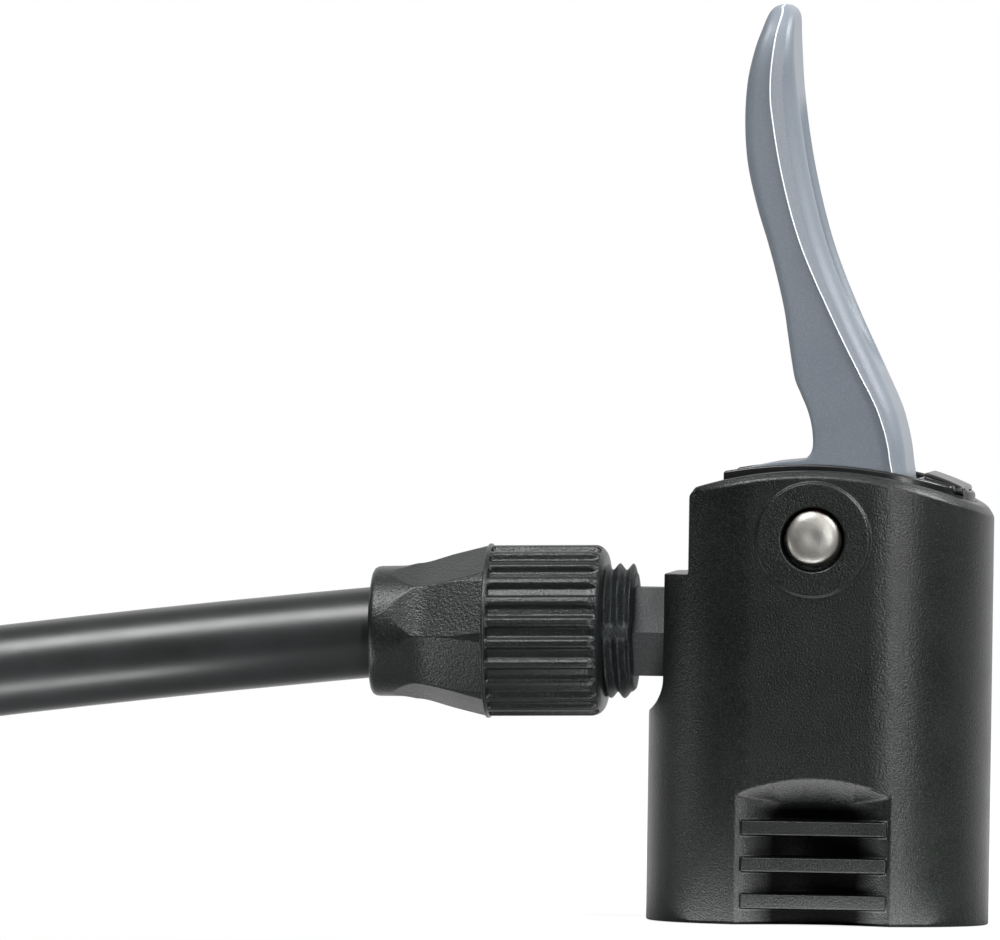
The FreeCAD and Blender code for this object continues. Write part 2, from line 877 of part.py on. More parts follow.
stem = new_body("air_stem", z=s.stem_height)
stem_outline = sketch_on(stem, "profile", "XZ_Plane")
neck = s.hex_across_flats / 2 - 0.4
outline(
    stem_outline,
    -s.barb_end,
    s.stem_bore,
    line(-s.barb_end, s.barb_radius - 0.4),
    line(-s.barb_end + 3.5, s.barb_radius),
    line(-s.stem_thread_end, s.barb_radius),
    line(-s.stem_thread_end, s.stem_thread_radius),
    line(-s.hex_back, s.stem_thread_radius),
    line(-s.hex_back, neck),
    line(-s.back_flat, neck),
    line(-s.back_flat, s.spigot_radius - 0.03),
    line(-s.spigot_end - 0.05, s.spigot_radius - 0.03),
    line(-s.spigot_end - 0.05, s.stem_bore),
    line(-s.barb_end, s.stem_bore),
)
revolve(stem_outline, "H_Axis")
hexagon = sketch_on(stem, "hexagon", "YZ_Plane", -s.back_flat)
flat = s.hex_across_flats / 2
corner = flat / cosine(30.0)
outline(
    hexagon,
    corner,
    0.0,
    line(corner / 2, flat),
    line(-corner / 2, flat),
    line(-corner, 0.0),
    line(-corner / 2, -flat),
    line(corner / 2, -flat),
    line(corner, 0.0),
)
pad(hexagon, s.hex_back - s.back_flat, back=True)
stem_way = sketch_on(stem, "way", "YZ_Plane", -s.spigot_end)
circle(stem_way, 0.0, 0.0, s.stem_bore)
pocket(stem_way, s.barb_end)

# Hose nut: collar, faceted cone, thin flange and fluted grip
# Eight flat facets, cut parallel to the axis and then along the cone, leave a leaf each. The turn of
# the body puts a leaf a sixth of a facet above the side.

nut_turn = 15.0
nut = new_body("hose_nut", z=s.stem_height)
nut.Placement.Rotation = Rotation(Vector(1, 0, 0), -nut_turn)
nut_outline = sketch_on(nut, "profile", "XZ_Plane")
cone_start = s.nut_back - 3.0
grip_start = s.nut_flange_back - s.nut_flange_width
clamp_back = 43.2
clamp_front = 36.5
nut_mouth = 5.3
flute_floor = s.nut_grip_radius - s.flute_depth
outline(
    nut_outline,
    -s.nut_back,
    nut_mouth,
    line(-clamp_back, nut_mouth),
    line(-clamp_back, s.hose_radius + 0.02),
    line(-clamp_front, s.hose_radius + 0.02),
    line(-clamp_front, s.stem_thread_radius + 0.05),
    line(-s.nut_front, s.stem_thread_radius + 0.05),
    line(-s.nut_front, flute_floor - 0.8),
    line(-s.flute_front, flute_floor - 0.8),
    line(-s.flute_front, flute_floor),
    line(-grip_start, flute_floor),
    line(-grip_start, s.nut_flange_radius),
    line(-s.nut_flange_back, s.nut_flange_radius),
    line(-s.nut_flange_back, s.nut_grip_radius - 0.05),
    line(-cone_start, s.nut_collar_radius),
    line(-s.nut_back, s.nut_collar_radius),
    line(-s.nut_back, nut_mouth),
)
revolve(nut_outline, "H_Axis")

facet = sketch_on(nut, "facet", "XZ_Plane")
facet_level = s.nut_collar_radius - 0.1
facet_bend = 42.3
facet_rise = (facet_bend - s.nut_flange_back) * sine(s.nut_facet_slope) / cosine(s.nut_facet_slope)
outline(
    facet,
    -s.nut_back - 1,
    facet_level,
    line(-facet_bend, facet_level),
    line(-s.nut_flange_back, facet_level + facet_rise),
    line(-s.nut_flange_back, s.nut_flange_radius + 2),
    line(-s.nut_back - 1, s.nut_flange_radius + 2),
    line(-s.nut_back - 1, facet_level),
)
around(pocket(facet, s.nut_flange_radius * 2, both=True), facet, "H_Axis", s.nut_facet_count)

wall = sketch_on(nut, "flute_wall", "YZ_Plane", -grip_start)
wall_sunk = flute_floor - 0.3
outline(
    wall,
    -s.flute_wall_root / 2,
    wall_sunk,
    line(s.flute_wall_root / 2, wall_sunk),
    line(s.flute_wall_top / 2, s.nut_grip_radius),
    line(-s.flute_wall_top / 2, s.nut_grip_radius),
    line(-s.flute_wall_root / 2, wall_sunk),
)
around(pad(wall, grip_start - s.flute_front), wall, "N_Axis", s.flute_count)

# Hose
# The hose leaves the nut at a slight slope. Its end on the barb is straight, and is cut square to that
# slope where the free stretch begins.

slope_reach = 6.0
slope_tan = sine(s.hose_slope) / cosine(s.hose_slope)
clamped = new_body("hose_clamped_end", z=s.stem_height)
clamped_outline = sketch_on(clamped, "profile", "XZ_Plane")
outline(
    clamped_outline,
    -s.hose_start - 0.6,
    s.hose_bore,
    line(-s.stem_thread_end - 0.1, s.hose_bore),
    line(-s.stem_thread_end - 0.1, s.hose_radius),
    line(-s.hose_start - 0.6, s.hose_radius),
    line(-s.hose_start - 0.6, s.hose_bore),
)
revolve(clamped_outline, "H_Axis")
skew = sketch_on(clamped, "skew_end", "XZ_Plane")
outline(
    skew,
    -s.hose_start - slope_tan * slope_reach,
    slope_reach,
    line(-s.hose_start - 4, slope_reach),
    line(-s.hose_start - 4, -slope_reach),
    line(-s.hose_start + slope_tan * slope_reach, -slope_reach),
    line(-s.hose_start - slope_tan * slope_reach, slope_reach),
)
pocket(skew, s.hose_radius * 3, both=True)


def solid_of(name, shape, x=0.0, y=0.0, z=0.0):
    """A shape made by formula, as a document object with its own place."""
    item = doc.addObject("Part::Feature", name)
    item.Label = name
    item.Shape = shape
    item.Placement = Placement(Vector(x, y, z), Rotation())
    parts[name] = item
    return item


def many_sided(radius, start, heading, sides):
    """A closed section with flat sides and the area of a circle of the given radius."""
    level = Vector(0, 0, 1)
    across = level.cross(heading).normalize()
    up = heading.cross(across)
    step = 2 * math.pi / sides
    reach = radius * math.sqrt(step / math.sin(step))
    angles = [step * (number + 0.5) for number in range(sides)]
    corners = [start + across * (reach * math.cos(a)) + up * (reach * math.sin(a)) for a in angles]
    return Part.makePolygon([*corners, corners[0]])


def swept(edges, section):
    """A solid along joined edges."""
    shell = Part.BRepOffsetAPI.MakePipeShell(Part.Wire(edges))
    shell.add(section)
    shell.build()
    shell.makeSolid()
    return shell.shape()


def run_route(points):
    """Straight runs joined by tangent arcs, each as large as its two runs allow."""
    edges = []
    radii = []
    at = points[0]
    for before, corner_point, after in zip(points, points[1:], points[2:]):
        way_in = (corner_point - before).normalize()
        way_out = (after - corner_point).normalize()
        turn = way_in.getAngle(way_out)
        reach = 0.45 * min((corner_point - before).Length, (after - corner_point).Length)
        radius = reach / math.tan(turn / 2)
        first = corner_point - way_in * reach
        last = corner_point + way_out * reach
        inward = (way_out - way_in).normalize()
        centre = corner_point + inward * (radius / math.cos(turn / 2))
        edges.append(Part.LineSegment(at, first).toShape())
        edges.append(Part.Arc(first, centre - inward * radius, last).toShape())
        radii.append(radius)
        at = last
    edges.append(Part.LineSegment(at, points[-1]).toShape())
    return edges, radii


def arc_between(start, end, heading):
    """The arc from start to end whose direction at start is the heading."""
    chord = end - start
    along = Vector(chord).normalize()
    side = heading - along * heading.dot(along)
    if side.Length < 1e-9:
        return Part.LineSegment(start, end).toShape()
    side.normalize()
    half_turn = heading.getAngle(chord)
    top = (start + end) * 0.5 + side * (chord.Length / 2 * math.tan(half_turn / 2))
    return Part.Arc(start, top, end).toShape()


def biarc(start, heading, end, last_heading):
    """Two arcs that join in one direction and meet both given headings."""
    gap = end - start
    total = heading + last_heading
    spare = 2 * (1 - heading.dot(last_heading))
    lean = gap.dot(total)
    if spare < 1e-9:
        reach = gap.dot(gap) / (2 * lean)
    else:
        reach = (-lean + math.sqrt(lean * lean + spare * gap.dot(gap))) / spare
    joint = (start + end + (heading - last_heading) * reach) * 0.5
    middle_heading = (joint - start) * (2 * heading.dot(joint - start)) - heading * (joint - start).dot(
        joint - start
    )
    return [
        arc_between(start, joint, heading),
        arc_between(joint, end, middle_heading.normalize()),
    ]


coil_high = sheet.get("coil_low") + sheet.get("layer_pitch")
coil_radius = sheet.get("coil_radius")
coil_side = -sheet.get("coil_side_shift")
coil_middle = Vector(-sheet.get("coil_centre_back"), coil_radius + coil_side, 0)
hose_radius = sheet.get("hose_radius")
coil_start = Vector(coil_middle.x + sheet.get("coil_end_run"), coil_side, coil_high)
hose_fall = math.tan(math.radians(sheet.get("hose_slope")))
HOSE_RUN = 48.0
hose_points = [
    Vector(-sheet.get("hose_start"), 0, sheet.get("stem_height")),
    Vector(-sheet.get("hose_start") - HOSE_RUN, 0, sheet.get("stem_height") - HOSE_RUN * hose_fall),
    Vector(-139.5, coil_side, coil_high),
    coil_start,
]
hose_edges, hose_radii = run_route(hose_points)
hose_heading = (hose_points[1] - hose_points[0]).normalize()
HOSE_SIDES = 10
hose_section = many_sided(hose_radius, hose_points[0], hose_heading, HOSE_SIDES)
hose = solid_of("hose", swept(hose_edges, hose_section))
hose_length = sum(edge.Length for edge in hose_edges)
print("hose radii", [round(radius, 1) for radius in hose_radii], "length", round(hose_length, 1))
print("hose volume share", round(hose.Shape.Volume / (math.pi * hose_radius**2 * hose_length), 4))


COIL_TURN = 540
QUARTER = 90


def coil_height(turned_degrees):
    """Two layers: half a turn on top, half a turn coming down, and a full turn below."""
    share = min(max((turned_degrees - 180) / 180, 0), 1)
    smooth = share * share * (3 - 2 * share)
    slope = 6 * share * (1 - share) / math.pi * sheet.get("layer_pitch") / coil_radius
    return coil_high - sheet.get("layer_pitch") * smooth, -slope


def coil_point(turned_degrees):
    """A point of the coil's centre line and its heading there."""
    turned = math.radians(turned_degrees)
    height, slope = coil_height(turned_degrees)
    outwards = Vector(-math.sin(turned), -math.cos(turned), 0)
    onwards = Vector(-math.cos(turned), math.sin(turned), 0)
    point = coil_middle + outwards * coil_radius + Vector(0, 0, height)
    return point, (onwards + Vector(0, 0, slope)).normalize()


coil_edges = [Part.LineSegment(coil_start, coil_point(0)[0]).toShape()]
for number in range(0, COIL_TURN, QUARTER):
    start, heading = coil_point(number)
    end, last_heading = coil_point(number + QUARTER)
    coil_edges += biarc(start, heading, end, last_heading)
coil_end, coil_heading = coil_point(COIL_TURN)
fitting_start = coil_end + coil_heading * sheet.get("coil_tail_run")
coil_edges.append(Part.LineSegment(coil_end, fitting_start).toShape())
coil_section = many_sided(hose_radius, coil_start, Vector(-1, 0, 0), HOSE_SIDES)
coil = solid_of("hose_coil", swept(coil_edges, coil_section))
coil_length = sum(edge.Length for edge in coil_edges)


def least_self_gap(samples, length, diameter):
    """The least gap between stretches of a centre line that lie over three diameters apart."""
    step = length / (len(samples) - 1)
    skip = int(3 * diameter / step) + 1
    return min(
        (samples[i] - samples[j]).Length - diameter
        for i in range(len(samples))
        for j in range(i + skip, len(samples))
    )


coil_samples = Part.Wire(coil_edges).discretize(Number=400)
print("coil length", round(coil_length, 1))
print("coil volume share", round(coil.Shape.Volume / (math.pi * hose_radius**2 * coil_length), 4))
print("coil self gap", round(least_self_gap(coil_samples, coil_length, hose_radius * 2), 3))

# Depressor spring: a coil on the same quarter turns, flat at both ends

spring_low = sheet.get("guide_low") + sheet.get("guide_thick") + 0.95
spring_wire = sheet.get("spring_wire")
spring_radius = 1.9
spring_rise = sheet.get("spring_top") - spring_low - spring_wire


def spring_point(turned_degrees):
    turned = math.radians(turned_degrees)
    whole = math.radians(360 * sheet.get("spring_turns"))
    height = spring_low + spring_wire / 2 + spring_rise * turned / whole
    slope = spring_rise / whole / spring_radius
    point = Vector(math.cos(turned) * spring_radius, math.sin(turned) * spring_radius, height)
    return point, Vector(-math.sin(turned), math.cos(turned), slope).normalize()


spring_edges = []
for number in range(0, int(360 * sheet.get("spring_turns")), QUARTER):
    start, heading = spring_point(number)
    end, last_heading = spring_point(number + QUARTER)
    spring_edges += biarc(start, heading, end, last_heading)
spring_start, spring_heading = spring_point(0)
spring_section = many_sided(spring_wire / 2, spring_start, spring_heading, 4)
solid_of("depressor_spring", swept(spring_edges, spring_section))

# Strap round the two layers of the coil, where they lie on each other

tie_bow = s.tie_width * s.tie_width / (s.coil_radius * 16)
tie = new_body(
    "coil_tie",
    x=-s.coil_centre_back - s.coil_radius + tie_bow,
    y=s.coil_radius - s.coil_side_shift,
)
strap = sketch_on(tie, "strap", "XZ_Plane")
strap_inner = s.hose_radius + 0.25
for radius in (strap_inner, strap_inner + s.tie_thick):
    outline(
        strap,
        radius,
        s.coil_low,
        line(radius, s.coil_low + s.layer_pitch),
        arc(0.0, s.coil_low + s.layer_pitch + radius, radius, 1),
        arc(-radius, s.coil_low + s.layer_pitch, radius, 1),
        line(-radius, s.coil_low),
        arc(0.0, s.coil_low - radius, radius, 1),
        arc(radius, s.coil_low, radius, 1),
    )
pad(strap, s.tie_width, both=True)

# Screwed end: the crimped sleeve goes over the hose's straight end, and the fitting's neck leaves it
# along +X. The swivel nut turns on the neck, behind the fitting's sealing head.

end_place = {
    "x": -s.coil_centre_back + s.coil_tail_run,
    "y": s.coil_radius * 2 - s.coil_side_shift,
    "z": s.coil_low,
}

ferrule = new_body("end_ferrule", **end_place)
ferrule_outline = sketch_on(ferrule, "profile", "XZ_Plane")
sleeve_over = s.hose_radius * 2 - 0.3
sleeve_inner = s.hose_radius + 0.2
outline(
    ferrule_outline,
    -sleeve_over,
    sleeve_inner,
    line(0.02, sleeve_inner),
    line(0.02, s.end_neck_radius + 0.02),
    line(s.end_sleeve_front, s.end_neck_radius + 0.02),
    line(s.end_sleeve_front, s.ferrule_radius),
    line(-sleeve_over, s.ferrule_radius),
    line(-sleeve_over, sleeve_inner),
)
revolve(ferrule_outline, "H_Axis")

nut_back_face = s.end_sleeve_front + 0.3
nut_front_face = nut_back_face + s.end_nut_length
head_back = nut_back_face + s.end_nut_wall + 0.05
fitting_front = head_back + s.end_head_length
fitting = new_body("end_fitting", **end_place)
fitting_outline = sketch_on(fitting, "profile", "XZ_Plane")
outline(
    fitting_outline,
    0.05,
    s.stem_bore,
    line(fitting_front, s.stem_bore),
    line(fitting_front, s.end_thread_radius - 0.15),
    line(head_back, s.end_thread_radius - 0.15),
    line(head_back, s.end_neck_radius),
    line(0.05, s.end_neck_radius),
    line(0.05, s.stem_bore),
)
revolve(fitting_outline, "H_Axis")

swivel = new_body("end_nut", **end_place)
swivel_outline = sketch_on(swivel, "hexagon", "YZ_Plane", nut_back_face)
swivel_flat = s.end_nut_across_flats / 2
swivel_corner = swivel_flat / cosine(30.0)
outline(
    swivel_outline,
    swivel_corner,
    0.0,
    line(swivel_corner / 2, swivel_flat),
    line(-swivel_corner / 2, swivel_flat),
    line(-swivel_corner, 0.0),
    line(-swivel_corner / 2, -swivel_flat),
    line(swivel_corner / 2, -swivel_flat),
    line(swivel_corner, 0.0),
)
pad(swivel_outline, s.end_nut_length)
corner_cut = sketch_on(swivel, "corner_cut", "XZ_Plane")
corner_drop = 0.8
outline(
    corner_cut,
    nut_front_face - corner_drop,
    swivel_corner + 0.2,
    line(nut_front_face, swivel_corner - corner_drop),
    line(nut_front_face + 1, swivel_corner - corner_drop),
    line(nut_front_face + 1, swivel_corner + 0.2),
    line(nut_front_face - corner_drop, swivel_corner + 0.2),
)
revolve(corner_cut, "H_Axis", cut=True)
swivel_bore = sketch_on(swivel, "bore", "YZ_Plane", nut_front_face)
circle(swivel_bore, 0.0, 0.0, s.end_thread_radius)
pocket(swivel_bore, s.end_nut_length - s.end_nut_wall)
neck_hole = sketch_on(swivel, "neck_hole", "YZ_Plane", nut_front_face)
circle(neck_hole, 0.0, 0.0, s.end_neck_radius + 0.08)
pocket(neck_hole, s.end_nut_length * 1.5)
undercut = sketch_on(swivel, "undercut", "XZ_Plane")
ring_outline(
    undercut,
    s.end_thread_radius - 0.5,
    s.end_undercut_radius,
    nut_back_face + s.end_nut_wall,
    nut_front_face - s.end_thread_length,
)
revolve(undercut, "H_Axis", cut=True)

# Checks, and one file for each piece

doc.recompute()
failed = [item.Name for item in doc.Objects if {"Invalid", "Error"} & set(item.State)]
if failed:
    raise ValueError(f"failed objects: {failed}")
for name, item in parts.items():
    if item.Shape.isNull() or not item.Shape.isValid() or len(item.Shape.Solids) != 1:
        raise ValueError(f"{name} is not one valid solid")

os.makedirs("parts", exist_ok=True)
for name, item in parts.items():
    item.Shape.exportStep(f"parts/{name}.step")
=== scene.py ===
"""Looks of a thumb-lock tyre inflator head with its hose.

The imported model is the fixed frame. Lengths are written in millimetres and turned to metres by MM. The
valve bore's mouth is the origin, +Z points up along the lever and the hose leaves towards -X.
"""

import logging
import math
from dataclasses import dataclass
from enum import Enum

import bmesh
import bpy
import numpy as np
from mathutils import Matrix, Vector


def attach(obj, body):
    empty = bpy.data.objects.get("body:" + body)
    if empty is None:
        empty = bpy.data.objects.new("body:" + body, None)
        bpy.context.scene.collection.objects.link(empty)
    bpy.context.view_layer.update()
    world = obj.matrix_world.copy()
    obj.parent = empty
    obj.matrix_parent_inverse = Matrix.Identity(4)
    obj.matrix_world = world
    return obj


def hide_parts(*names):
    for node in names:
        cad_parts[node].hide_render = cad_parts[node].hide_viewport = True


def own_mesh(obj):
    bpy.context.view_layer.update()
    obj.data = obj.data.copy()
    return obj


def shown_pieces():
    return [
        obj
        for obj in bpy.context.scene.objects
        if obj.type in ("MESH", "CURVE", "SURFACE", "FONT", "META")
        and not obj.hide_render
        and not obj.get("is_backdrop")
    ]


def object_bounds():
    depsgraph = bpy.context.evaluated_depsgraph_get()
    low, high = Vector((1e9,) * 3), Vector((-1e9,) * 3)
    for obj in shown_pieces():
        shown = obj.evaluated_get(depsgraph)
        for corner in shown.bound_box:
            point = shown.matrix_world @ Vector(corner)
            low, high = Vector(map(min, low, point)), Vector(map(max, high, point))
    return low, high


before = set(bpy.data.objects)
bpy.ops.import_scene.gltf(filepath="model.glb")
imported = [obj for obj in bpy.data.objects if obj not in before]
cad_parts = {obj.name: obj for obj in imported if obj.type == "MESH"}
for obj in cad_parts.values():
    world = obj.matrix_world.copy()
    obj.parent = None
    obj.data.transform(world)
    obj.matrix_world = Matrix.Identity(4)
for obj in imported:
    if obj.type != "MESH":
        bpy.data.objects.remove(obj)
CAD_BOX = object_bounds()

Socket = bpy.types.NodeSocket
Piece = bpy.types.Object
Spot = tuple[float, float, float]
Span = tuple[float, float]

MM = 0.001
LOG = logging.getLogger("inflator_head")
FULL_TURN = 2 * math.pi
BEAD_HIGHLIGHT = "bead"
WHITE = (1, 1, 1, 1)
# an edge between faces at a greater angle than this many degrees is shown sharp
SHARP_ANGLE = 38.0
# distances in metres below which points count as one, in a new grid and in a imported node
GRID_GAP = 1e-7
NODE_GAP = 2e-6
# steps of a rounded edge, and the least angle in degrees of the edges that are rounded
BEVEL_STEPS = 3
BEVEL_ANGLE = 30.0
# detail and roughness of the noises for a slow change of tone, for flecks and for grain
CLOUD_NOISE: Span = (3.0, 0.6)
FLECK_NOISE: Span = (1.5, 0.6)
GRAIN_NOISE: Span = (2.0, 0.55)


class Body(Enum):
    """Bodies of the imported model."""

    HEAD = "head"
    LEVER = "lever"
    PLUNGER = "plunger"
    END_NUT = "end_nut"


class Axis(Enum):
    """The axis that a turned piece is turned about."""

    X = 0
    Y = 1
    Z = 2


# Materials


def linear(colour: str) -> tuple[float, float, float, float]:
    """Turns an sRGB hex colour to linear.

    Args:
        colour: six hex digits.

    Returns:
        The linear red, green, blue and alpha.
    """
    channels = np.array([int(colour[i : i + 2], 16) for i in (0, 2, 4)]) / 255
    low = channels / 12.92
    high = ((channels + 0.055) / 1.055) ** 2.4
    return (*np.where(channels <= 0.04045, low, high).tolist(), 1.0)


class Graph:
    """The shader nodes of a material or the world, with short ways to add them."""

    def __init__(self, owner: bpy.types.Material | bpy.types.World, coordinates: str = "Object") -> None:
        """Starts an empty graph.

        Args:
            owner: the material or the world.
            coordinates: the coordinates that its patterns lie in.
        """
        owner.use_nodes = True
        self.tree = owner.node_tree
        self.tree.nodes.clear()
        self.place = self.node("TexCoord").outputs[coordinates]

    def node(self, kind: str, settings: dict | None = None, **inputs: object) -> bpy.types.Node:
        """Adds a node with its settings and links.

        Args:
            kind: the node's type name, without ShaderNode.
            settings: properties of the node itself.
            **inputs: values or output sockets by input name, with spaces as underscores, or by in_NUMBER.

        Returns:
            The new node.
        """
        node = self.tree.nodes.new("ShaderNode" + kind)
        for key, value in (settings or {}).items():
            setattr(node, key, value)
        for key, value in inputs.items():
            number = key.removeprefix("in_")
            socket = node.inputs[int(number)] if number.isdigit() else node.inputs[key.replace("_", " ")]
            if isinstance(value, Socket):
                self.tree.links.new(value, socket)
            else:
                socket.default_value = value
        return node

    def ramp(
        self,
        value: Socket,
        low: float,
        high: float,
        start: float = 0.0,
        end: float = 1.0,
        kind: str = "LINEAR",
    ) -> Socket:
        """Maps a value that runs from low to high to one that runs from start to end, and holds it beyond.

        Args:
            value: the value.
            low: the value that gives the start.
            high: the value that gives the end.
            start: the result at low.
            end: the result at high.
            kind: LINEAR, or SMOOTHSTEP for soft ends.

        Returns:
            The result.
        """
        way = {"interpolation_type": kind}
        return self.node("MapRange", way, in_0=value, in_1=low, in_2=high, in_3=start, in_4=end).outputs[0]

    def reckon(self, operation: str, *values: Socket | float) -> Socket:
        """Adds one step of arithmetic.

        Args:
            operation: the step's name.
            *values: what it works on.

        Returns:
            The result.
        """
        inputs = {f"in_{number}": value for number, value in enumerate(values)}
        return self.node("Math", {"operation": operation}, **inputs).outputs[0]

    def noise(self, size: float, detail: float, roughness: float) -> Socket:
        """Adds a noise.

        Args:
            size: the size of its largest forms, in millimetres.
            detail: how many finer forms lie on them.
            roughness: how strong the finer forms are.

        Returns:
            The noise, about 0.5 in the middle.
        """
        scale = 1 / (size * MM)
        texture = self.node("TexNoise", Vector=self.place, Scale=scale, Detail=detail, Roughness=roughness)
        return texture.outputs[0]

    def mixed(self, share: Socket, plain: Socket | tuple, other: str) -> Socket:
        """Mixes one colour into another.

        Args:
            share: the second colour's share.
            plain: the first colour.
            other: the second colour, in hex.

        Returns:
            The mixed colour.
        """
        return self.node("Mix", {"data_type": "RGBA"}, in_0=share, in_6=plain, in_7=linear(other)).outputs[2]


@dataclass(frozen=True)
class Grain:
    """One scale of relief on a surface, in millimetres."""

    size: float
    height: float


@dataclass(frozen=True)
class Finish:
    """A moulded, turned or pressed surface: colour, gloss and the grain of how it was made."""

    name: str
    colour: str
    worn: str
    roughness: float
    spread: float
    grains: tuple[Grain, ...]
    metallic: float = 0.0
    ior: float = 1.5
    fleck: str = ""
    fleck_size: float = 0.25
    fleck_share: float = 0.5
    # the noise's values between which flecks appear, and gloss and tone change
    fleck_range: Span = (0.47, 0.72)
    cloud_size: float = 7.0
    gloss_range: Span = (0.3, 0.7)
    tone_range: Span = (0.35, 0.7)

    def tone(self, graph: Graph, cloud: Socket) -> Socket:
        """Mixes the base colour, its slow change of tone and its fine flecks.

        Args:
            graph: the material's nodes.
            cloud: the slow noise.

        Returns:
            The colour.
        """
        change = graph.ramp(cloud, *self.tone_range)
        plain = graph.mixed(change, linear(self.colour), self.worn)
        if not self.fleck:
            return plain
        specks = graph.noise(self.fleck_size, *FLECK_NOISE)
        share = graph.ramp(specks, *self.fleck_range, 0.0, self.fleck_share)
        return graph.mixed(share, plain, self.fleck)

    def vary(self, graph: Graph, shader: bpy.types.Node) -> None:
        """Changes the shader by the place on the object, which a plain finish doesn't."""

    def material(self) -> bpy.types.Material:
        """Builds the node material, or returns it if it is there already.

        The grains lie over each other as bumps.

        Returns:
            The material.
        """
        ready = bpy.data.materials.get(self.name)
        if ready:
            return ready
        material = bpy.data.materials.new(self.name)
        graph = Graph(material)
        # a slow change of tone, as plastic has from its flow in the mould and metal from handling
        cloud = graph.noise(self.cloud_size, *CLOUD_NOISE)
        least, most = self.roughness - self.spread, self.roughness + self.spread
        shader = graph.node(
            "BsdfPrincipled",
            Base_Color=self.tone(graph, cloud),
            Roughness=graph.ramp(cloud, *self.gloss_range, least, most),
            Metallic=self.metallic,
            IOR=self.ior,
        )
        bent = {}
        for grain in self.grains:
            pattern = graph.noise(grain.size, *GRAIN_NOISE)
            bump = graph.node("Bump", Height=pattern, Strength=1.0, Distance=grain.height * MM, **bent)
            bent = {"Normal": bump.outputs["Normal"]}
        graph.tree.links.new(bent["Normal"], shader.inputs["Normal"])
        self.vary(graph, shader)
        graph.node("OutputMaterial", Surface=shader.outputs["BSDF"])
        return material

    def coat(self, data: bpy.types.ID) -> None:
        """Makes this the only material of a mesh or curve."""
        data.materials.clear()
        data.materials.append(self.material())


@dataclass(frozen=True)
class BeadHighlightFinish(Finish):
    """A moulded finish with a painted pale highlight along its raised bead, where the mesh marks it."""

    # the pale colour of the painted highlight along the bead, and the mark's values between which it comes in
    bead: str = "e6eaef"
    bead_highlight_range: Span = (0.25, 0.75)

    def tone(self, graph: Graph, cloud: Socket) -> Socket:
        """Paints a pale highlight along the bead over the plain tone.

        Args:
            graph: the material's nodes.
            cloud: the slow noise.

        Returns:
            The colour.
        """
        mark = graph.node("Attribute", {"attribute_name": BEAD_HIGHLIGHT}).outputs["Fac"]
        return graph.mixed(graph.ramp(mark, *self.bead_highlight_range), super().tone(graph, cloud), self.bead)


@dataclass(frozen=True)
class GripShadeFinish(Finish):
    """A spark finish with painted shade in the deep part of the finger grips: near black and without gloss
    there.
    """

    # the near black of the painted shade, and the gloss outside it and at its deepest
    deep: str = "030403"
    full_gloss: float = 0.5
    least_gloss: float = 0.03
    centre: float = 0.5
    # millimetres between which the painted shade sets in: from the centre, from the middle plane and in
    # height
    reach: Span = (8.4, 8.1)
    depth: Span = (11.3, 10.0)
    ceiling: Span = (12.6, 12.0)

    def vary(self, graph: Graph, shader: bpy.types.Node) -> None:
        """Paints shade in the grips: near black over the tone and its flecks, and the gloss taken away.

        The painted shade's share grows as the point goes deeper from the flat side, and is kept to the grips'
        height and width by a ramp each.

        Args:
            graph: the material's nodes.
            shader: the surface shader.
        """
        parts = graph.node("SeparateXYZ", Vector=graph.place).outputs
        aside = graph.reckon("SUBTRACT", parts["X"], self.centre * MM)
        measures = (
            (graph.reckon("ABSOLUTE", aside), self.reach),
            (graph.reckon("ABSOLUTE", parts["Y"]), self.depth),
            (parts["Z"], self.ceiling),
        )
        wide, deep, low = (graph.ramp(value, edge[0] * MM, edge[1] * MM) for value, edge in measures)
        share = graph.reckon("MULTIPLY", graph.reckon("MULTIPLY", deep, low), wide)
        # the painted shade: near black mixed into the colour and the gloss taken away
        plain = shader.inputs["Base Color"].links[0].from_socket
        graph.tree.links.new(graph.mixed(share, plain, self.deep), shader.inputs["Base Color"])
        gloss = graph.ramp(share, 0.0, 1.0, self.full_gloss, self.least_gloss)
        graph.tree.links.new(gloss, shader.inputs["Specular IOR Level"])


@dataclass(frozen=True)
class RivetFinish(Finish):
    """Plated steel, bright and mottled on the head, with dark red-brown rust and painted shade in the gap
    round its edge.
    """

    # the dark red-brown of rust and painted shade round the head's edge, and the radii in millimetres where
    # it lies
    rust_and_shade: str = "2a1713"
    rust_and_shade_range: Span = (2.85, 3.05)
    wander: float = 0.5
    height: float = 40.4

    def tone(self, graph: Graph, cloud: Socket) -> Socket:
        """Adds the rust and painted shade round the head's edge by the distance from the rivet's axis,
        blurred by the slow noise.

        Args:
            graph: the material's nodes.
            cloud: the slow noise.

        Returns:
            The colour.
        """
        down = (0, 0, -self.height * MM)
        across = graph.node("Mapping", Vector=graph.place, Location=down, Scale=(1, 0, 1)).outputs[0]
        reach = graph.node("VectorMath", {"operation": "LENGTH"}, in_0=across).outputs["Value"]
        edge = graph.reckon(
            "ADD", reach, graph.reckon("MULTIPLY_ADD", cloud, self.wander * MM, -self.wander / 2 * MM)
        )
        share = graph.ramp(edge, self.rust_and_shade_range[0] * MM, self.rust_and_shade_range[1] * MM)
        return graph.mixed(share, super().tone(graph, cloud), self.rust_and_shade)


# Glass-filled nylon from a spark-eroded mould: dull greenish black, with fine light flecks on its grain and
# painted shade deep in the finger grips
SPARK_NYLON = GripShadeFinish(
    "spark_eroded_nylon",
    "070a08",
    "0b0f0c",
    0.35,
    0.03,
    (Grain(0.2, 0.05), Grain(0.7, 0.01)),
    ior=1.46,
    fleck="3c423e",
    fleck_size=0.15,
    fleck_share=0.36,
)
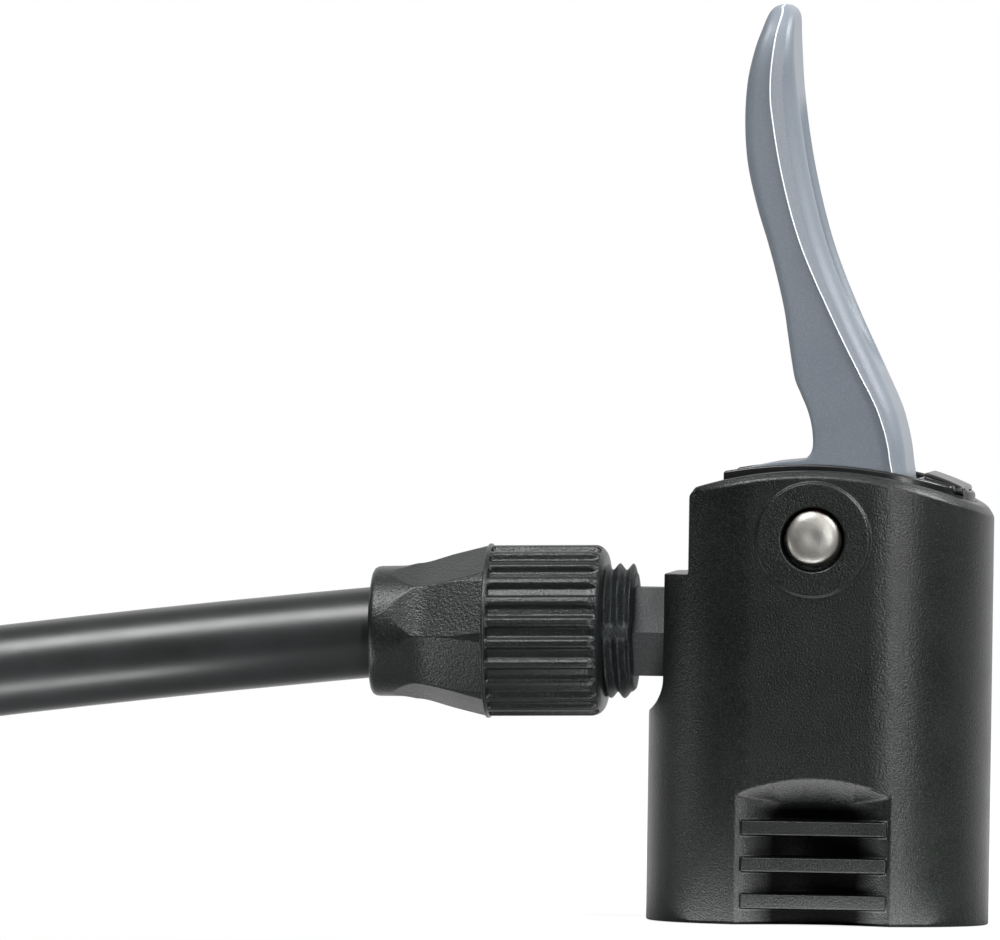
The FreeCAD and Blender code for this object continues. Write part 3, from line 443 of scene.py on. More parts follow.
# The same nylon from a polished mould: black with soft clear reflections
POLISHED_NYLON = Finish(
    "polished_nylon", "090a0b", "0e0f10", 0.32, 0.04, (Grain(1.6, 0.03), Grain(0.25, 0.004))
)
# Grey mica-filled nylon: very even and satin, with a grain that is only just seen and a painted pale
# highlight along the bead
GREY_NYLON = BeadHighlightFinish(
    "grey_mica_nylon",
    "676e77",
    "6c737b",
    0.42,
    0.02,
    (Grain(0.22, 0.012),),
    ior=1.48,
    fleck="848b92",
    fleck_size=0.16,
    fleck_share=0.3,
    cloud_size=14.0,
)
# Nylon from a mould with a leather-like etch, on the hose nut: its fine pits break up the reflections
ETCHED_NYLON = Finish(
    "etched_nylon",
    "0b0e0e",
    "111515",
    0.36,
    0.04,
    (Grain(0.3, 0.05), Grain(0.15, 0.015)),
    fleck="383d3d",
    fleck_size=0.2,
    fleck_share=0.28,
)
# Brass under black paint: a dull satin film that follows the metal's fine pits
PAINTED_BRASS = Finish(
    "black_painted_brass",
    "0d1011",
    "151819",
    0.52,
    0.04,
    (Grain(0.3, 0.02),),
    ior=1.42,
    fleck="454b4e",
    fleck_size=0.2,
)
# Extruded rubber hose: smooth, with a clear dull sheen
HOSE_RUBBER = Finish("extruded_rubber", "171919", "1c1e1f", 0.35, 0.03, (Grain(0.6, 0.006),), ior=1.54)
# Pressed rubber of seals and straps: matt from the mould, with hardly any sheen
SEAL_RUBBER = Finish("pressed_rubber", "17181a", "202123", 0.62, 0.05, (Grain(0.3, 0.006),))
# Upset steel rivet: nickel plate gone satin and mottled by the hammer, with rust and painted shade round its
# head
RIVET_STEEL = RivetFinish(
    "upset_rivet_steel",
    "adaca7",
    "9a9791",
    0.5,
    0.06,
    (Grain(1.1, 0.03), Grain(0.2, 0.01)),
    metallic=1.0,
    cloud_size=1.8,
)
# Drawn and plated steel of the spring, the crimped sleeve and the end nut: bright with soft reflections
PLATED_STEEL = Finish(
    "nickel_plated_steel", "b9bab5", "a3a49f", 0.3, 0.05, (Grain(0.3, 0.004),), metallic=1.0
)
# Turned brass, dulled by air: brown-yellow with a soft sheen
TURNED_BRASS = Finish("turned_brass", "a98d52", "937842", 0.34, 0.05, (Grain(0.25, 0.003),), metallic=1.0)
# Turned aluminium: pale with a soft sheen
TURNED_ALUMINIUM = Finish(
    "turned_aluminium", "c6c8ca", "b4b6b8", 0.32, 0.05, (Grain(0.25, 0.003),), metallic=1.0
)


# Surfaces


def placed(name: str, data: bpy.types.ID) -> Piece:
    """Adds an object to the scene.

    Args:
        name: its name.
        data: its mesh, curve, light or camera.

    Returns:
        The object.
    """
    item = bpy.data.objects.new(name, data)
    bpy.context.scene.collection.objects.link(item)
    return item


def settle(name: str, data: bpy.types.ID, body: Body, slot: str, finish: Finish, *nodes: str) -> Piece:
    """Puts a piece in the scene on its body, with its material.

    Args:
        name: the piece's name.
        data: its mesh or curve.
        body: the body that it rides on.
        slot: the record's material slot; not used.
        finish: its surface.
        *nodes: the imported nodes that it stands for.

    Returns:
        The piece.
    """
    data.name = name
    finish.coat(data)
    piece = placed(name, data)
    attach(piece, body.value)
    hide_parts(*nodes)
    return piece


def skin(
    grid: np.ndarray, ring: bool = False, sharp: float = SHARP_ANGLE, bead: np.ndarray | None = None
) -> bpy.types.Mesh:
    """Makes a closed mesh of a grid of points whose columns close round on themselves.

    Each point is joined to the next in its row and in its column. The first and last rows are joined to
    each other, or else each is closed by a face, or shrinks to a point that is merged.

    Args:
        grid: rows by columns by three coordinates, in millimetres.
        ring: whether the last row joins the first.
        sharp: the angle in degrees above which an edge is shown sharp.
        bead: how far each point lies on a bead, from 0 to 1, stored for the painted highlight along it.

    Returns:
        The mesh, in metres.
    """
    rows, columns = grid.shape[:2]
    index = np.arange(rows * columns).reshape(rows, columns)
    low = index if ring else index[:-1]
    high = np.roll(index, -1, axis=0) if ring else index[1:]
    quads = np.stack([low, np.roll(low, -1, axis=1), np.roll(high, -1, axis=1), high], axis=-1)
    faces = quads.reshape(-1, 4).tolist()
    if not ring:
        faces += [index[0].tolist(), index[-1][::-1].tolist()]
    mesh = bpy.data.meshes.new("skin")
    mesh.from_pydata((grid.reshape(-1, 3) * MM).tolist(), [], faces)
    if bead is not None:
        mesh.attributes.new(BEAD_HIGHLIGHT, "FLOAT", "POINT").data.foreach_set("value", bead.ravel())
    work = bmesh.new()
    work.from_mesh(mesh)
    bmesh.ops.remove_doubles(work, verts=work.verts, dist=GRID_GAP)
    bmesh.ops.recalc_face_normals(work, faces=work.faces)
    work.to_mesh(mesh)
    work.free()
    mesh.shade_smooth()
    mesh.set_sharp_from_angle(angle=math.radians(sharp))
    return mesh


def rounded(corners: list[Spot], ring: bool = False, steps: int = 5) -> np.ndarray:
    """Rounds the corners of an outline, each by its own size.

    A corner becomes a parabola between the points at that distance along its two sides.

    Args:
        corners: the place along the axis, the radius and the rounding of each corner.
        ring: whether the outline closes on itself.
        steps: the points on each rounded corner.

    Returns:
        The outline's points.
    """
    spots = np.array(corners, dtype=float)
    before = np.roll(spots, 1, axis=0)[:, :2]
    after = np.roll(spots, -1, axis=0)[:, :2]
    here = spots[:, :2]
    size = spots[:, 2:]
    if not ring:
        size = size.copy()
        size[[0, -1]] = 0
    into = (before - here) / np.maximum(np.linalg.norm(before - here, axis=1, keepdims=True), 1e-9)
    out = (after - here) / np.maximum(np.linalg.norm(after - here, axis=1, keepdims=True), 1e-9)
    share = np.linspace(0, 1, steps)[None, :, None]
    first = (here + into * size)[:, None, :]
    last = (here + out * size)[:, None, :]
    curve = first * (1 - share) ** 2 + here[:, None, :] * 2 * share * (1 - share) + last * share**2
    flat = curve.reshape(-1, 2)
    fresh = np.concatenate([[True], np.linalg.norm(np.diff(flat, axis=0), axis=1) > 1e-6])
    return flat[fresh]


def spread(line: np.ndarray, step: float) -> np.ndarray:
    """Adds points along an outline so that none are further apart than a step.

    Args:
        line: the outline's points.
        step: the greatest distance, in millimetres.

    Returns:
        The outline's points.
    """
    gaps = np.linalg.norm(np.diff(line, axis=0), axis=1)
    way = np.concatenate([[0], np.cumsum(gaps)])
    extra = np.linspace(0, way[-1], int(way[-1] / step) + 2)
    at = np.unique(np.concatenate([way, extra]).round(5))
    return np.stack([np.interp(at, way, line[:, k]) for k in range(line.shape[1])], axis=-1)


def circle(columns: int) -> np.ndarray:
    """Lists the angles of a full turn's even steps."""
    return np.arange(columns) * FULL_TURN / columns


def turned(line: np.ndarray, axis: Axis, centre: Spot = (0, 0, 0), columns: int = 96) -> np.ndarray:
    """Turns an outline about an axis.

    The radius at each row is the same all round. The angle is measured from +Z towards +Y about X, from
    +Z towards +X about Y, and from +X towards +Y about Z.

    Args:
        line: the place along the axis and the radius of each row.
        axis: the axis.
        centre: a point of the axis.
        columns: the points in each row.

    Returns:
        The grid, rows by columns by three coordinates.
    """
    along, radius = np.hsplit(line, 2)
    return wrapped(along, radius * np.ones(columns), circle(columns), axis, centre)


def wrapped(
    along: np.ndarray, radius: np.ndarray, angle: np.ndarray, axis: Axis, centre: Spot = (0, 0, 0)
) -> np.ndarray:
    """Places points by their radius about an axis.

    Args:
        along: the place of each row along the axis, as a column.
        radius: the radius of each point, rows by columns.
        angle: the angle of each column.
        axis: the axis.
        centre: a point of the axis.

    Returns:
        The grid, rows by columns by three coordinates.
    """
    level = along * np.ones_like(radius)
    first = radius * np.cos(angle)
    second = radius * np.sin(angle)
    order = {Axis.X: (level, second, first), Axis.Y: (second, level, first), Axis.Z: (first, second, level)}
    return np.stack(order[axis], axis=-1) + np.array(centre, dtype=float)


def through(points: tuple[tuple[float, ...], ...], steps: int) -> np.ndarray:
    """Draws a smooth line through points.

    Each stretch is a cubic whose direction at a point is half the way between that point's neighbours.

    Args:
        points: the points.
        steps: the samples on each stretch.

    Returns:
        The samples.
    """
    known = np.array(points, dtype=float)
    padded = np.concatenate([known[:1] * 2 - known[1:2], known, known[-1:] * 2 - known[-2:-1]])
    share = np.linspace(0, 1, steps, endpoint=False)[None, :, None]
    a, b, c, d = (padded[k : len(padded) - 3 + k, None, :] for k in range(4))
    lift = b * 2 + (c - a) * share
    lift = lift + (a * 2 - b * 5 + c * 4 - d) * share**2 + (b * 3 - a - c * 3 + d) * share**3
    return np.concatenate([(lift / 2).reshape(-1, known.shape[1]), known[-1:]])


def merged_copy(node: str, flat: float = 1.0) -> bmesh.types.BMesh:
    """Copies a node's loose triangles, merged to a shell whose flat areas are single faces.

    Args:
        node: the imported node.
        flat: the angle in degrees below which two faces count as one.

    Returns:
        The copy.
    """
    work = bmesh.new()
    work.from_mesh(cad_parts[node].data)
    bmesh.ops.remove_doubles(work, verts=work.verts, dist=NODE_GAP)
    bmesh.ops.dissolve_limit(work, angle_limit=math.radians(flat), verts=work.verts, edges=work.edges)
    return work


def shell(work: bmesh.types.BMesh) -> bpy.types.Mesh:
    """Turns a working copy to a smooth mesh.

    Args:
        work: the working copy, which is freed.

    Returns:
        The mesh.
    """
    mesh = bpy.data.meshes.new("shell")
    work.to_mesh(mesh)
    work.free()
    mesh.shade_smooth()
    return mesh


def softened(name: str, node: str, body: Body, slot: str, finish: Finish, width: float) -> Piece:
    """Gives a node's shape the small rounded edges of the real piece.

    Args:
        name: the new piece's name.
        node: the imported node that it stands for.
        body: the body that it rides on.
        slot: the record's material slot.
        finish: its surface.
        width: the rounding of its edges, in millimetres.

    Returns:
        The piece.
    """
    piece = settle(name, shell(merged_copy(node)), body, slot, finish, node)
    bevel = piece.modifiers.new("rounded_edges", "BEVEL")
    bevel.width = width * MM
    bevel.segments = BEVEL_STEPS
    bevel.limit_method = "ANGLE"
    bevel.angle_limit = math.radians(BEVEL_ANGLE)
    bevel.use_clamp_overlap = False
    normals = piece.modifiers.new("flat_faces_stay_flat", "WEIGHTED_NORMAL")
    normals.weight = 90
    normals.keep_sharp = True
    return piece


# Studio


@dataclass(frozen=True)
class Lamp:
    """A soft rectangular lamp: where it hangs, what it faces and its size in millimetres, and its watts."""

    name: str
    place: Spot
    aim: Spot
    size: Span
    power: float

    def hang(self) -> None:
        """Adds the lamp to the scene, unseen by the camera."""
        data = bpy.data.lights.new(self.name, "AREA")
        data.shape = "RECTANGLE"
        data.size = self.size[0] * MM
        data.size_y = self.size[1] * MM
        data.energy = self.power
        lamp = placed(self.name, data)
        lamp.visible_camera = False
        way = Vector(self.aim) - Vector(self.place)
        turn = way.to_track_quat("-Z", "Y").to_matrix().to_4x4()
        lamp.matrix_world = Matrix.Translation(Vector(self.place) * MM) @ turn


@dataclass(frozen=True)
class Studio:
    """The photograph's long lens, a white floor and soft lamps."""

    pixel: float = 0.105
    width: int = 1000
    height: int = 940
    origin_px: Span = (817.05, 921.6)
    azimuth: float = 5.5
    elevation: float = 1.4
    roll: float = 0.84
    distance: float = 3500.0
    sensor: float = 36.0
    floor_half: float = 600.0
    floor_front: float = -60.0
    floor_gap: float = 0.1
    card: str = "808080"
    glow_share: float = 0.85
    # from where to where, towards +Y, reflections of the floor turn white
    white_range: Span = (0.0, 50.0)
    # a direction's parts towards +Y and +Z between which the world grows bright, and its least and most
    backdrop_range: Span = (0.4, 0.85)
    overhead_range: Span = (0.1, 0.9)
    overhead_light: Span = (0.02, 0.4)
    lamps: tuple[Lamp, ...] = (
        Lamp("front_right", (215, -480, 120), (0, 0, 45), (32, 320), 1.4),
        Lamp("top_left", (-200, -300, 560), (-20, 0, 45), (300, 230), 3.9),
        Lamp("top_right", (420, -60, 420), (0, 0, 60), (260, 260), 4.8),
        Lamp("low_left", (-119, -27, 0.3), (-119, -27, 100), (106, 14), 0.045),
        Lamp("low_front", (-3, -17, 0.3), (-3, -17, 100), (44, 14), 0.0095),
    )

    def axes(self) -> tuple[Vector, Vector, Vector]:
        """Works out the camera's right, up and backward directions.

        Returns:
            The three directions.
        """
        turn, lift, tilt = (math.radians(a) for a in (self.azimuth, self.elevation, self.roll))
        back = Vector((math.sin(turn) * math.cos(lift), -math.cos(turn) * math.cos(lift), math.sin(lift)))
        right = Vector((math.cos(turn), math.sin(turn), 0))
        up = back.cross(right)
        level, sheer = math.cos(tilt), math.sin(tilt)
        return right * level + up * sheer, up * level - right * sheer, back

    def camera(self) -> None:
        """Sets the camera so that one pixel of the photograph is the stated size at the head."""
        right, up, back = self.axes()
        across = (self.width / 2 - self.origin_px[0]) * self.pixel
        above = (self.origin_px[1] - self.height / 2) * self.pixel
        aim = right * across + up * above
        data = bpy.data.cameras.new("camera")
        data.sensor_width = self.sensor
        data.lens = self.sensor * self.distance / (self.width * self.pixel)
        data.clip_start = 0.01
        data.clip_end = 20
        camera = placed("camera", data)
        rotation = Matrix((right, up, back)).transposed().to_4x4()
        camera.matrix_world = Matrix.Translation((aim + back * self.distance) * MM) @ rotation
        bpy.context.scene.camera = camera

    def floor(self) -> None:
        """Lays a large pale floor under the object, white to the camera.

        In reflections it is white behind the object and fades to the grey card in front of it.
        """
        half, front = self.floor_half * MM, self.floor_front * MM
        low = CAD_BOX[0][2] - self.floor_gap * MM
        mesh = bpy.data.meshes.new("floor")
        corners = [(-half, front, low), (half, front, low), (half, half, low), (-half, half, low)]
        mesh.from_pydata(corners, [], [(0, 1, 2, 3)])
        material = bpy.data.materials.new("pale_card")
        graph = Graph(material)
        path = graph.node("LightPath").outputs
        parts = graph.node("SeparateXYZ", Vector=graph.place).outputs
        behind = graph.ramp(parts["Y"], self.white_range[0] * MM, self.white_range[1] * MM)
        shine = graph.reckon("MAXIMUM", path["Is Glossy Ray"], path["Is Transmission Ray"])
        strength = graph.reckon("ADD", path["Is Camera Ray"], graph.reckon("MULTIPLY", shine, behind))
        card = graph.node("BsdfDiffuse", Color=linear(self.card)).outputs[0]
        glow = graph.node("Emission", Color=WHITE, Strength=strength).outputs[0]
        both = graph.node("AddShader", in_0=card, in_1=glow).outputs[0]
        surface = graph.node("MixShader", in_0=self.glow_share, in_1=card, in_2=both).outputs[0]
        graph.node("OutputMaterial", Surface=surface)
        mesh.materials.append(material)
        placed("floor", mesh)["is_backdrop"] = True

    def surroundings(self) -> None:
        """Gives a world that is bright overhead and behind, dark at the front, and white to the camera."""
        world = bpy.data.worlds.new("studio")
        graph = Graph(world, "Generated")
        path = graph.node("LightPath").outputs
        parts = graph.node("SeparateXYZ", Vector=graph.place).outputs
        backdrop = graph.ramp(parts["Y"], *self.backdrop_range, kind="SMOOTHSTEP")
        overhead = graph.ramp(parts["Z"], *self.overhead_range, *self.overhead_light, kind="SMOOTHSTEP")
        total = graph.reckon("ADD", overhead, backdrop)
        soft = graph.node("Background", Color=WHITE, Strength=total).outputs[0]
        white = graph.node("Background", Color=WHITE, Strength=1.0).outputs[0]
        mix = graph.node("MixShader", in_0=path["Is Camera Ray"], in_1=soft, in_2=white).outputs[0]
        graph.node("OutputWorld", Surface=mix)
        bpy.context.scene.world = world

    def build(self) -> None:
        """Sets the camera, lamps, world and floor."""
        self.camera()
        for lamp in self.lamps:
            lamp.hang()
        self.surroundings()
        self.floor()
        bpy.context.scene.view_settings.view_transform = "Standard"


# Lever


@dataclass(frozen=True)
class Lever:
    """The thumb lever: a rounded paddle with a dished front, a thin bead on each side, and its cam hub."""

    # stations from the slot to the tip: X and Z at the back, then X and Z at the front
    stations: tuple[tuple[float, float, float, float], ...] = (
        (-9.8, 45.98, 9.35, 45.4),
        (-8.95, 47.15, 9.33, 46.3),
        (-7.9, 47.6, 9.3, 46.9),
        (-5.0, 48.25, 9.25, 47.5),
        (-1.95, 48.62, 9.15, 48.1),
        (-1.05, 49.05, 9.05, 48.8),
        (-0.65, 49.9, 8.95, 49.7),
        (-0.65, 51.2, 8.75, 50.9),
        (-0.87, 52.6, 8.45, 52.2),
        (-1.3, 54.0, 8.0, 53.8),
        (-2.0, 55.6, 7.35, 55.4),
        (-2.6, 57.0, 6.65, 56.9),
        (-3.0, 59.0, 5.7, 58.9),
        (-3.45, 61.8, 4.45, 61.5),
        (-3.9, 64.5, 3.3, 63.95),
        (-4.8, 68.2, 1.6, 67.9),
        (-5.75, 71.5, 0.25, 71.6),
        (-6.92, 75.2, -0.85, 75.5),
        (-7.95, 79.6, -1.8, 79.7),
        (-8.3, 84.0, -2.5, 83.8),
        (-8.1, 88.2, -3.05, 88.0),
        (-7.4, 91.6, -3.32, 91.5),
        (-6.75, 93.6, -3.38, 93.4),
        (-6.3, 94.9, -3.36, 94.6),
        (-5.95, 95.6, -3.42, 95.3),
        (-5.5, 96.05, -3.7, 95.85),
        (-4.9, 96.27, -4.2, 96.2),
    )
    # height, radius of the front's round, radius of the back's round and reach of the bead from the front
    shape: tuple[tuple[float, float, float, float], ...] = (
        (45.0, 2.0, 0.3, 1.45),
        (50.0, 2.2, 0.35, 1.6),
        (54.0, 2.5, 0.45, 1.85),
        (60.0, 2.75, 0.6, 2.2),
        (70.0, 2.85, 0.8, 2.55),
        (83.0, 2.95, 1.0, 2.8),
        (87.0, 2.7, 1.1, 2.7),
        (91.6, 1.7, 1.1, 2.05),
        (94.5, 1.2, 0.9, 1.5),
        (96.3, 0.8, 0.4, 1.0),
    )
    half_width: float = 6.95
    taper_start: float = 86.0
    tip: float = 96.4
    # the superellipse of the narrowing: the power inside and the power of the whole
    taper_powers: Span = (3.4, 0.45)
    crease: float = 25.0
    # a round of the front, a round of the back and the bead's reach, as shares of the section's depth
    most: tuple[float, float, float] = (0.5, 0.4, 0.62)
    bead_height: float = 0.22
    bead_half: float = 0.15
    # depth of a section that has the whole bead, and the part of the side that has points of its own
    fade: float = 4.0
    side_span: Span = (0.12, 0.9)
    # the flat front's least and the back round's most, as shares of the half width
    least_front: float = 0.1
    most_back: float = 0.8
    dish_low: float = 58.0
    dish_high: float = 86.5
    dish_depth: float = 2.3
    # the dish's powers along and across the lever
    dish_powers: Span = (0.8, 6)
    samples: int = 7

    def arm(self) -> bpy.types.Mesh:
        """Builds the arm as sections between the back and front lines.

        A section goes from the back point to the front point and is as wide as the lever, which narrows
        as a superellipse towards the tip. Its back corners are quarter circles. Its front corners are
        circles too, but begin with a crease at an angle to the side. Its sides carry a cosine bump for the
        bead, and its front is pushed in by a sine along the lever times one less the sixth power across it.

        Returns:
            The mesh.
        """
        line = through(self.stations, self.samples)
        back, front = line[:, :2], line[:, 2:]
        height = front[:, 1:]
        length = np.linalg.norm(front - back, axis=1, keepdims=True)
        ahead = (front - back) / length
        fine = through(self.shape, 8)
        wide = [np.interp(height, fine[:, 0], fine[:, k]) for k in (1, 2, 3)]
        front_round, back_round, bead = (np.minimum(wide[k], length * self.most[k]) for k in range(3))
        towards_tip = np.clip((height - self.taper_start) / (self.tip - self.taper_start), 0, 1)
        inner, outer = self.taper_powers
        half = self.half_width * (1 - towards_tip**inner) ** outer
        crease = math.radians(self.crease)
        quarter = np.linspace(0, math.pi / 2, 9)
        arc = np.linspace(0, math.pi / 2 - crease, 11)
        across = np.linspace(-1, 1, 31)
        # front face from the near side to the far side
        rim = np.maximum(half - front_round * math.cos(crease), half * self.least_front)
        front_round = (half - rim) / math.cos(crease)
        front_y = across * rim
        along = np.clip((height - self.dish_low) / (self.dish_high - self.dish_low), 0, 1)
        lengthways, sideways = self.dish_powers
        push = self.dish_depth * np.sin(math.pi * along) ** lengthways * (1 - across**sideways)
        front_a = length - push
        # far front corner, far side with its bead, far back corner
        corner_y = rim + front_round * np.sin(arc)
        corner_a = length - front_round + front_round * np.cos(arc)
        bump = np.linspace(-1, 1, 9)
        bead_a = length - bead - bump * self.bead_half
        fade = np.clip(length / self.fade, 0, 1)
        swell = 0.5 + 0.5 * np.cos(bump * math.pi)
        bead_y = half + self.bead_height * fade * swell
        share = np.linspace(*self.side_span, 7)
        side_a = bead_a[:, -1:] * (1 - share) + back_round * share
        side_y = half * np.ones_like(side_a)
        back_round = np.minimum(back_round, half * self.most_back)
        tail_y = half - back_round + back_round * np.cos(quarter)
        tail_a = back_round * (1 - np.sin(quarter))
        far_y = np.concatenate([corner_y[:, 1:], bead_y, side_y, tail_y], axis=1)
        far_a = np.concatenate([corner_a[:, 1:], bead_a, side_a, tail_a], axis=1)
        back_y = -np.linspace(-1, 1, 15)[1:-1] * (half - back_round)
        back_a = np.zeros_like(back_y)
        # the bead's swell, which the lever's finish paints as a pale highlight
        marks = np.concatenate([corner_a[:, 1:] * 0, bead_a * 0 + swell, side_a * 0, tail_a * 0], axis=1)
        bead_highlight_marks = np.concatenate([front_a * 0, marks, back_a * 0, marks[:, ::-1]], axis=1)
        reach = np.concatenate([front_a, far_a, back_a, far_a[:, ::-1]], axis=1)
        side = np.concatenate([front_y, far_y, back_y, -far_y[:, ::-1]], axis=1)
        x, z = (back[:, k : k + 1] + ahead[:, k : k + 1] * reach for k in range(2))
        return skin(np.stack([x, side, z], axis=-1), bead=bead_highlight_marks)

    def hub(self) -> bmesh.types.BMesh:
        """Copies the lever's cam hub below the arm's first section, and closes it there.

        Returns:
            The hub.
        """
        work = merged_copy("lever")
        back_x, back_z, front_x, front_z = self.stations[0]
        low = Vector((back_x, 0, back_z)) * MM
        high = Vector((front_x, 0, front_z)) * MM
        upward = Vector((0, -1, 0)).cross(high - low).normalized()
        everything = [*work.verts, *work.edges, *work.faces]
        cut = bmesh.ops.bisect_plane(work, geom=everything, plane_co=low, plane_no=upward, clear_outer=True)
        rim = [item for item in cut["geom_cut"] if isinstance(item, bmesh.types.BMEdge)]
        bmesh.ops.contextual_create(work, geom=rim)
        return work

    def build(self) -> None:
        """Joins arm and hub to the lever."""
        mesh = self.arm()
        hub = shell(self.hub())
        both = bmesh.new()
        both.from_mesh(mesh)
        both.from_mesh(hub)
        both.to_mesh(mesh)
        both.free()
        bpy.data.meshes.remove(hub)
        mesh.shade_smooth()
        mesh.set_sharp_from_angle(angle=math.radians(SHARP_ANGLE))
        settle("thumb_lever", mesh, Body.LEVER, "lever_grey", GREY_NYLON, "lever")


# Hose nut and air stem


@dataclass(frozen=True)
class HoseNut:
    """The nut on the hose: a collar, a cone with leaf-shaped flats, a thin flange and a fluted grip."""

    level: float = 30.2
    droop: float = 0.02
    grip_radius: float = 9.0
    flutes: int = 24
    flute_depth: float = 0.6
    # the flat top of a rib and the slope beside it, as shares of a flute's pitch
    rib_share: float = 0.2
    slope_share: float = 0.5
    flute_back: float = -34.7
    flute_front: float = -23.1
    # the runs over which a flute gets deep at its two ends, and the power of the front one
    back_run: float = 0.1
    front_run: float = 0.7
    front_power: float = 0.6
    leaf_count: int = 8
    leaf_above: float = 19.0
    # distance of a leaf's surface from the axis, from its pointed tip to the flange
    leaf: tuple[tuple[float, float], ...] = (
        (-45.2, 6.9),
        (-44.4, 6.76),
        (-43.2, 6.62),
        (-41.6, 6.72),
        (-39.0, 7.42),
        (-35.1, 8.5),
    )
    flange_back: float = -35.1
    play: float = 0.01
    # radius beyond which a row is on the outside
    outer_from: float = 6.8
    columns: int = 480
    sharp: float = 34.0

    def outline(self) -> np.ndarray:
        """Lists the nut's outline, from the bore's mouth over the outside and back through the bore.

        Returns:
            The place along the axis and the radius of each row.
        """
        outside = [
            (-47.3, 5.3, 0.2),
            (-47.3, 6.82, 0.9),
            (-43.7, 6.87, 0.5),
            (self.flange_back - 0.05, 8.97, 0.04),
            (self.flange_back, 9.17, 0.1),
            (-34.8, 9.17, 0.1),
            (-34.72, self.grip_radius, 0.04),
            (-23.5, self.grip_radius, 0.5),
            (-22.7, 8.3, 0.5),
            (-22.5, 7.4, 0.25),
            (-22.5, 6.95, 0.1),
            (-36.5, 6.95, 0.1),
            (-36.5, 4.78, 0.1),
            (-43.2, 4.78, 0.1),
            (-43.2, 5.3, 0.1),
            (-47.3, 5.3, 0.2),
        ]
        return spread(rounded(outside), 0.25)

    def build(self) -> None:
        """Turns the outline and cuts it by the leaves and flutes.

        The radius is the outline's, or where that is less, a leaf's distance from the axis over the
        cosine of the angle from the leaf's middle. Between the flange and the nut's end it is less by the
        flute's depth times a smooth step from a rib's flat top to the flute's floor. The nut hangs down a
        little towards the hose.
        """
        along, plain = np.hsplit(self.outline(), 2)
        angle = circle(self.columns)
        outer = plain > self.outer_from
        # the near side looks along -Y, which is three quarters of a turn from +Z towards +Y
        pitch = FULL_TURN / self.leaf_count
        middle = -math.pi / 2 + math.radians(self.leaf_above)
        off = (angle - middle + pitch / 2) % pitch - pitch / 2
        sweep = through(self.leaf, 8)
        leaf = np.interp(along, sweep[:, 0], sweep[:, 1]) / np.cos(off)
        on_cone = (along < self.flange_back - self.play) & (along > self.leaf[0][0]) & outer
        radius = np.where(on_cone, np.minimum(plain, leaf), plain)
        # 0 in the middle of a rib and 1 in the middle of a flute
        share = np.abs((angle * self.flutes / FULL_TURN) % 1 - 0.5) * 2
        step = np.clip((share - self.rib_share) / self.slope_share, 0, 1)
        wave = step * step * (3 - 2 * step)
        run_in = np.clip((along - self.flute_back) / self.back_run, 0, 1)
        deep = run_in * np.clip((self.flute_front - along) / self.front_run, 0, 1) ** self.front_power
        radius = radius - np.where(outer, self.flute_depth * wave * deep, 0)
        grid = wrapped(along, radius, angle, Axis.X, (0, 0, self.level))
        grid[..., 2] += self.droop * np.minimum(grid[..., 0] - self.flute_front, 0)
        nut = skin(grid[:-1], ring=True, sharp=self.sharp)
        settle("fluted_hose_nut", nut, Body.HEAD, "nut_black", ETCHED_NYLON, "hose_nut")


@dataclass(frozen=True)
class AirStem:
    """The air stem between head and hose: spigot, hexagon, thread and hose barb, bored through."""

    level: float = 30.2
    flats: float = 9.25
    thread_radius: float = 7.1
    thread_depth: float = 0.7
    thread_pitch: float = 1.42
    # radius beyond which a row is on the thread, the powers of its saw, and the filled part's share
    thread_from: float = 6.2
    saw_powers: Span = (1.6, 0.8)
    filled: float = 0.35
    # ends of the hexagon, and the radius beyond which a row is on it
    hexagon_ends: Span = (-19.45, -15.9)
    hexagon_from: float = 3.3
    # degrees from the mould's parting to where the filled thread starts to open, and the run to fully open
    parting: float = 4.0
    parting_fade: float = 6.0
    columns: int = 192
    sharp: float = 34.0

    def build(self) -> None:
        """Turns the stem's outline, with a screw thread and six flats.

        On the thread the radius falls from the crest by the depth times a smoothed saw along the axis that
        advances by one pitch a turn, and the saw is filled near the mould's parting at each side. On the
        hexagon it is half the width across flats over the cosine of the angle from the flat's middle.
        """
        corners = [
            (-10.85, 1.5, 0.0),
            (-10.85, 3.17, 0.3),
            (-16.0, 3.17, 0.0),
            (-16.0, 5.6, 0.15),
            (-19.4, 5.6, 0.15),
            (-19.55, self.thread_radius - 0.5, 0.1),
            (-19.8, self.thread_radius, 0.2),
            (-22.6, self.thread_radius, 0.1),
            (-22.8, 6.8, 0.1),
            (-31.0, 6.8, 0.2),
            (-31.0, 2.7, 0.1),
            (-39.0, 2.7, 0.1),
            (-42.5, 2.3, 0.1),
            (-42.5, 1.5, 0.0),
            (-10.85, 1.5, 0.0),
        ]
        along, plain = np.hsplit(spread(rounded(corners), 0.12), 2)
        angle = circle(self.columns)
        sixth = FULL_TURN / 6
        hexagon = self.flats / 2 / np.cos((angle + sixth / 2) % sixth - sixth / 2)
        back, front = self.hexagon_ends
        on_hexagon = (along > back) & (along < front) & (plain > self.hexagon_from)
        radius = np.where(on_hexagon, np.minimum(plain, hexagon), plain)
        phase = (along / self.thread_pitch + angle / FULL_TURN) % 1
        crest, floor = self.saw_powers
        saw = (1 - np.abs(np.cos(phase * FULL_TURN / 2)) ** crest) ** floor
        side = np.abs(np.abs(angle - math.pi) - math.pi / 2) * math.degrees(1)
        open_share = np.clip((side - self.parting) / self.parting_fade, 0, 1)
        groove = self.thread_depth * (saw * open_share + self.filled * (1 - open_share))
        radius = radius - np.where(plain > self.thread_from, groove, 0)
        grid = wrapped(along, radius, angle, Axis.X, (0, 0, self.level))
        stem = skin(grid[:-1], ring=True, sharp=self.sharp)
        settle("threaded_stem", stem, Body.HEAD, "stem_metal", PAINTED_BRASS, "air_stem")


# Head


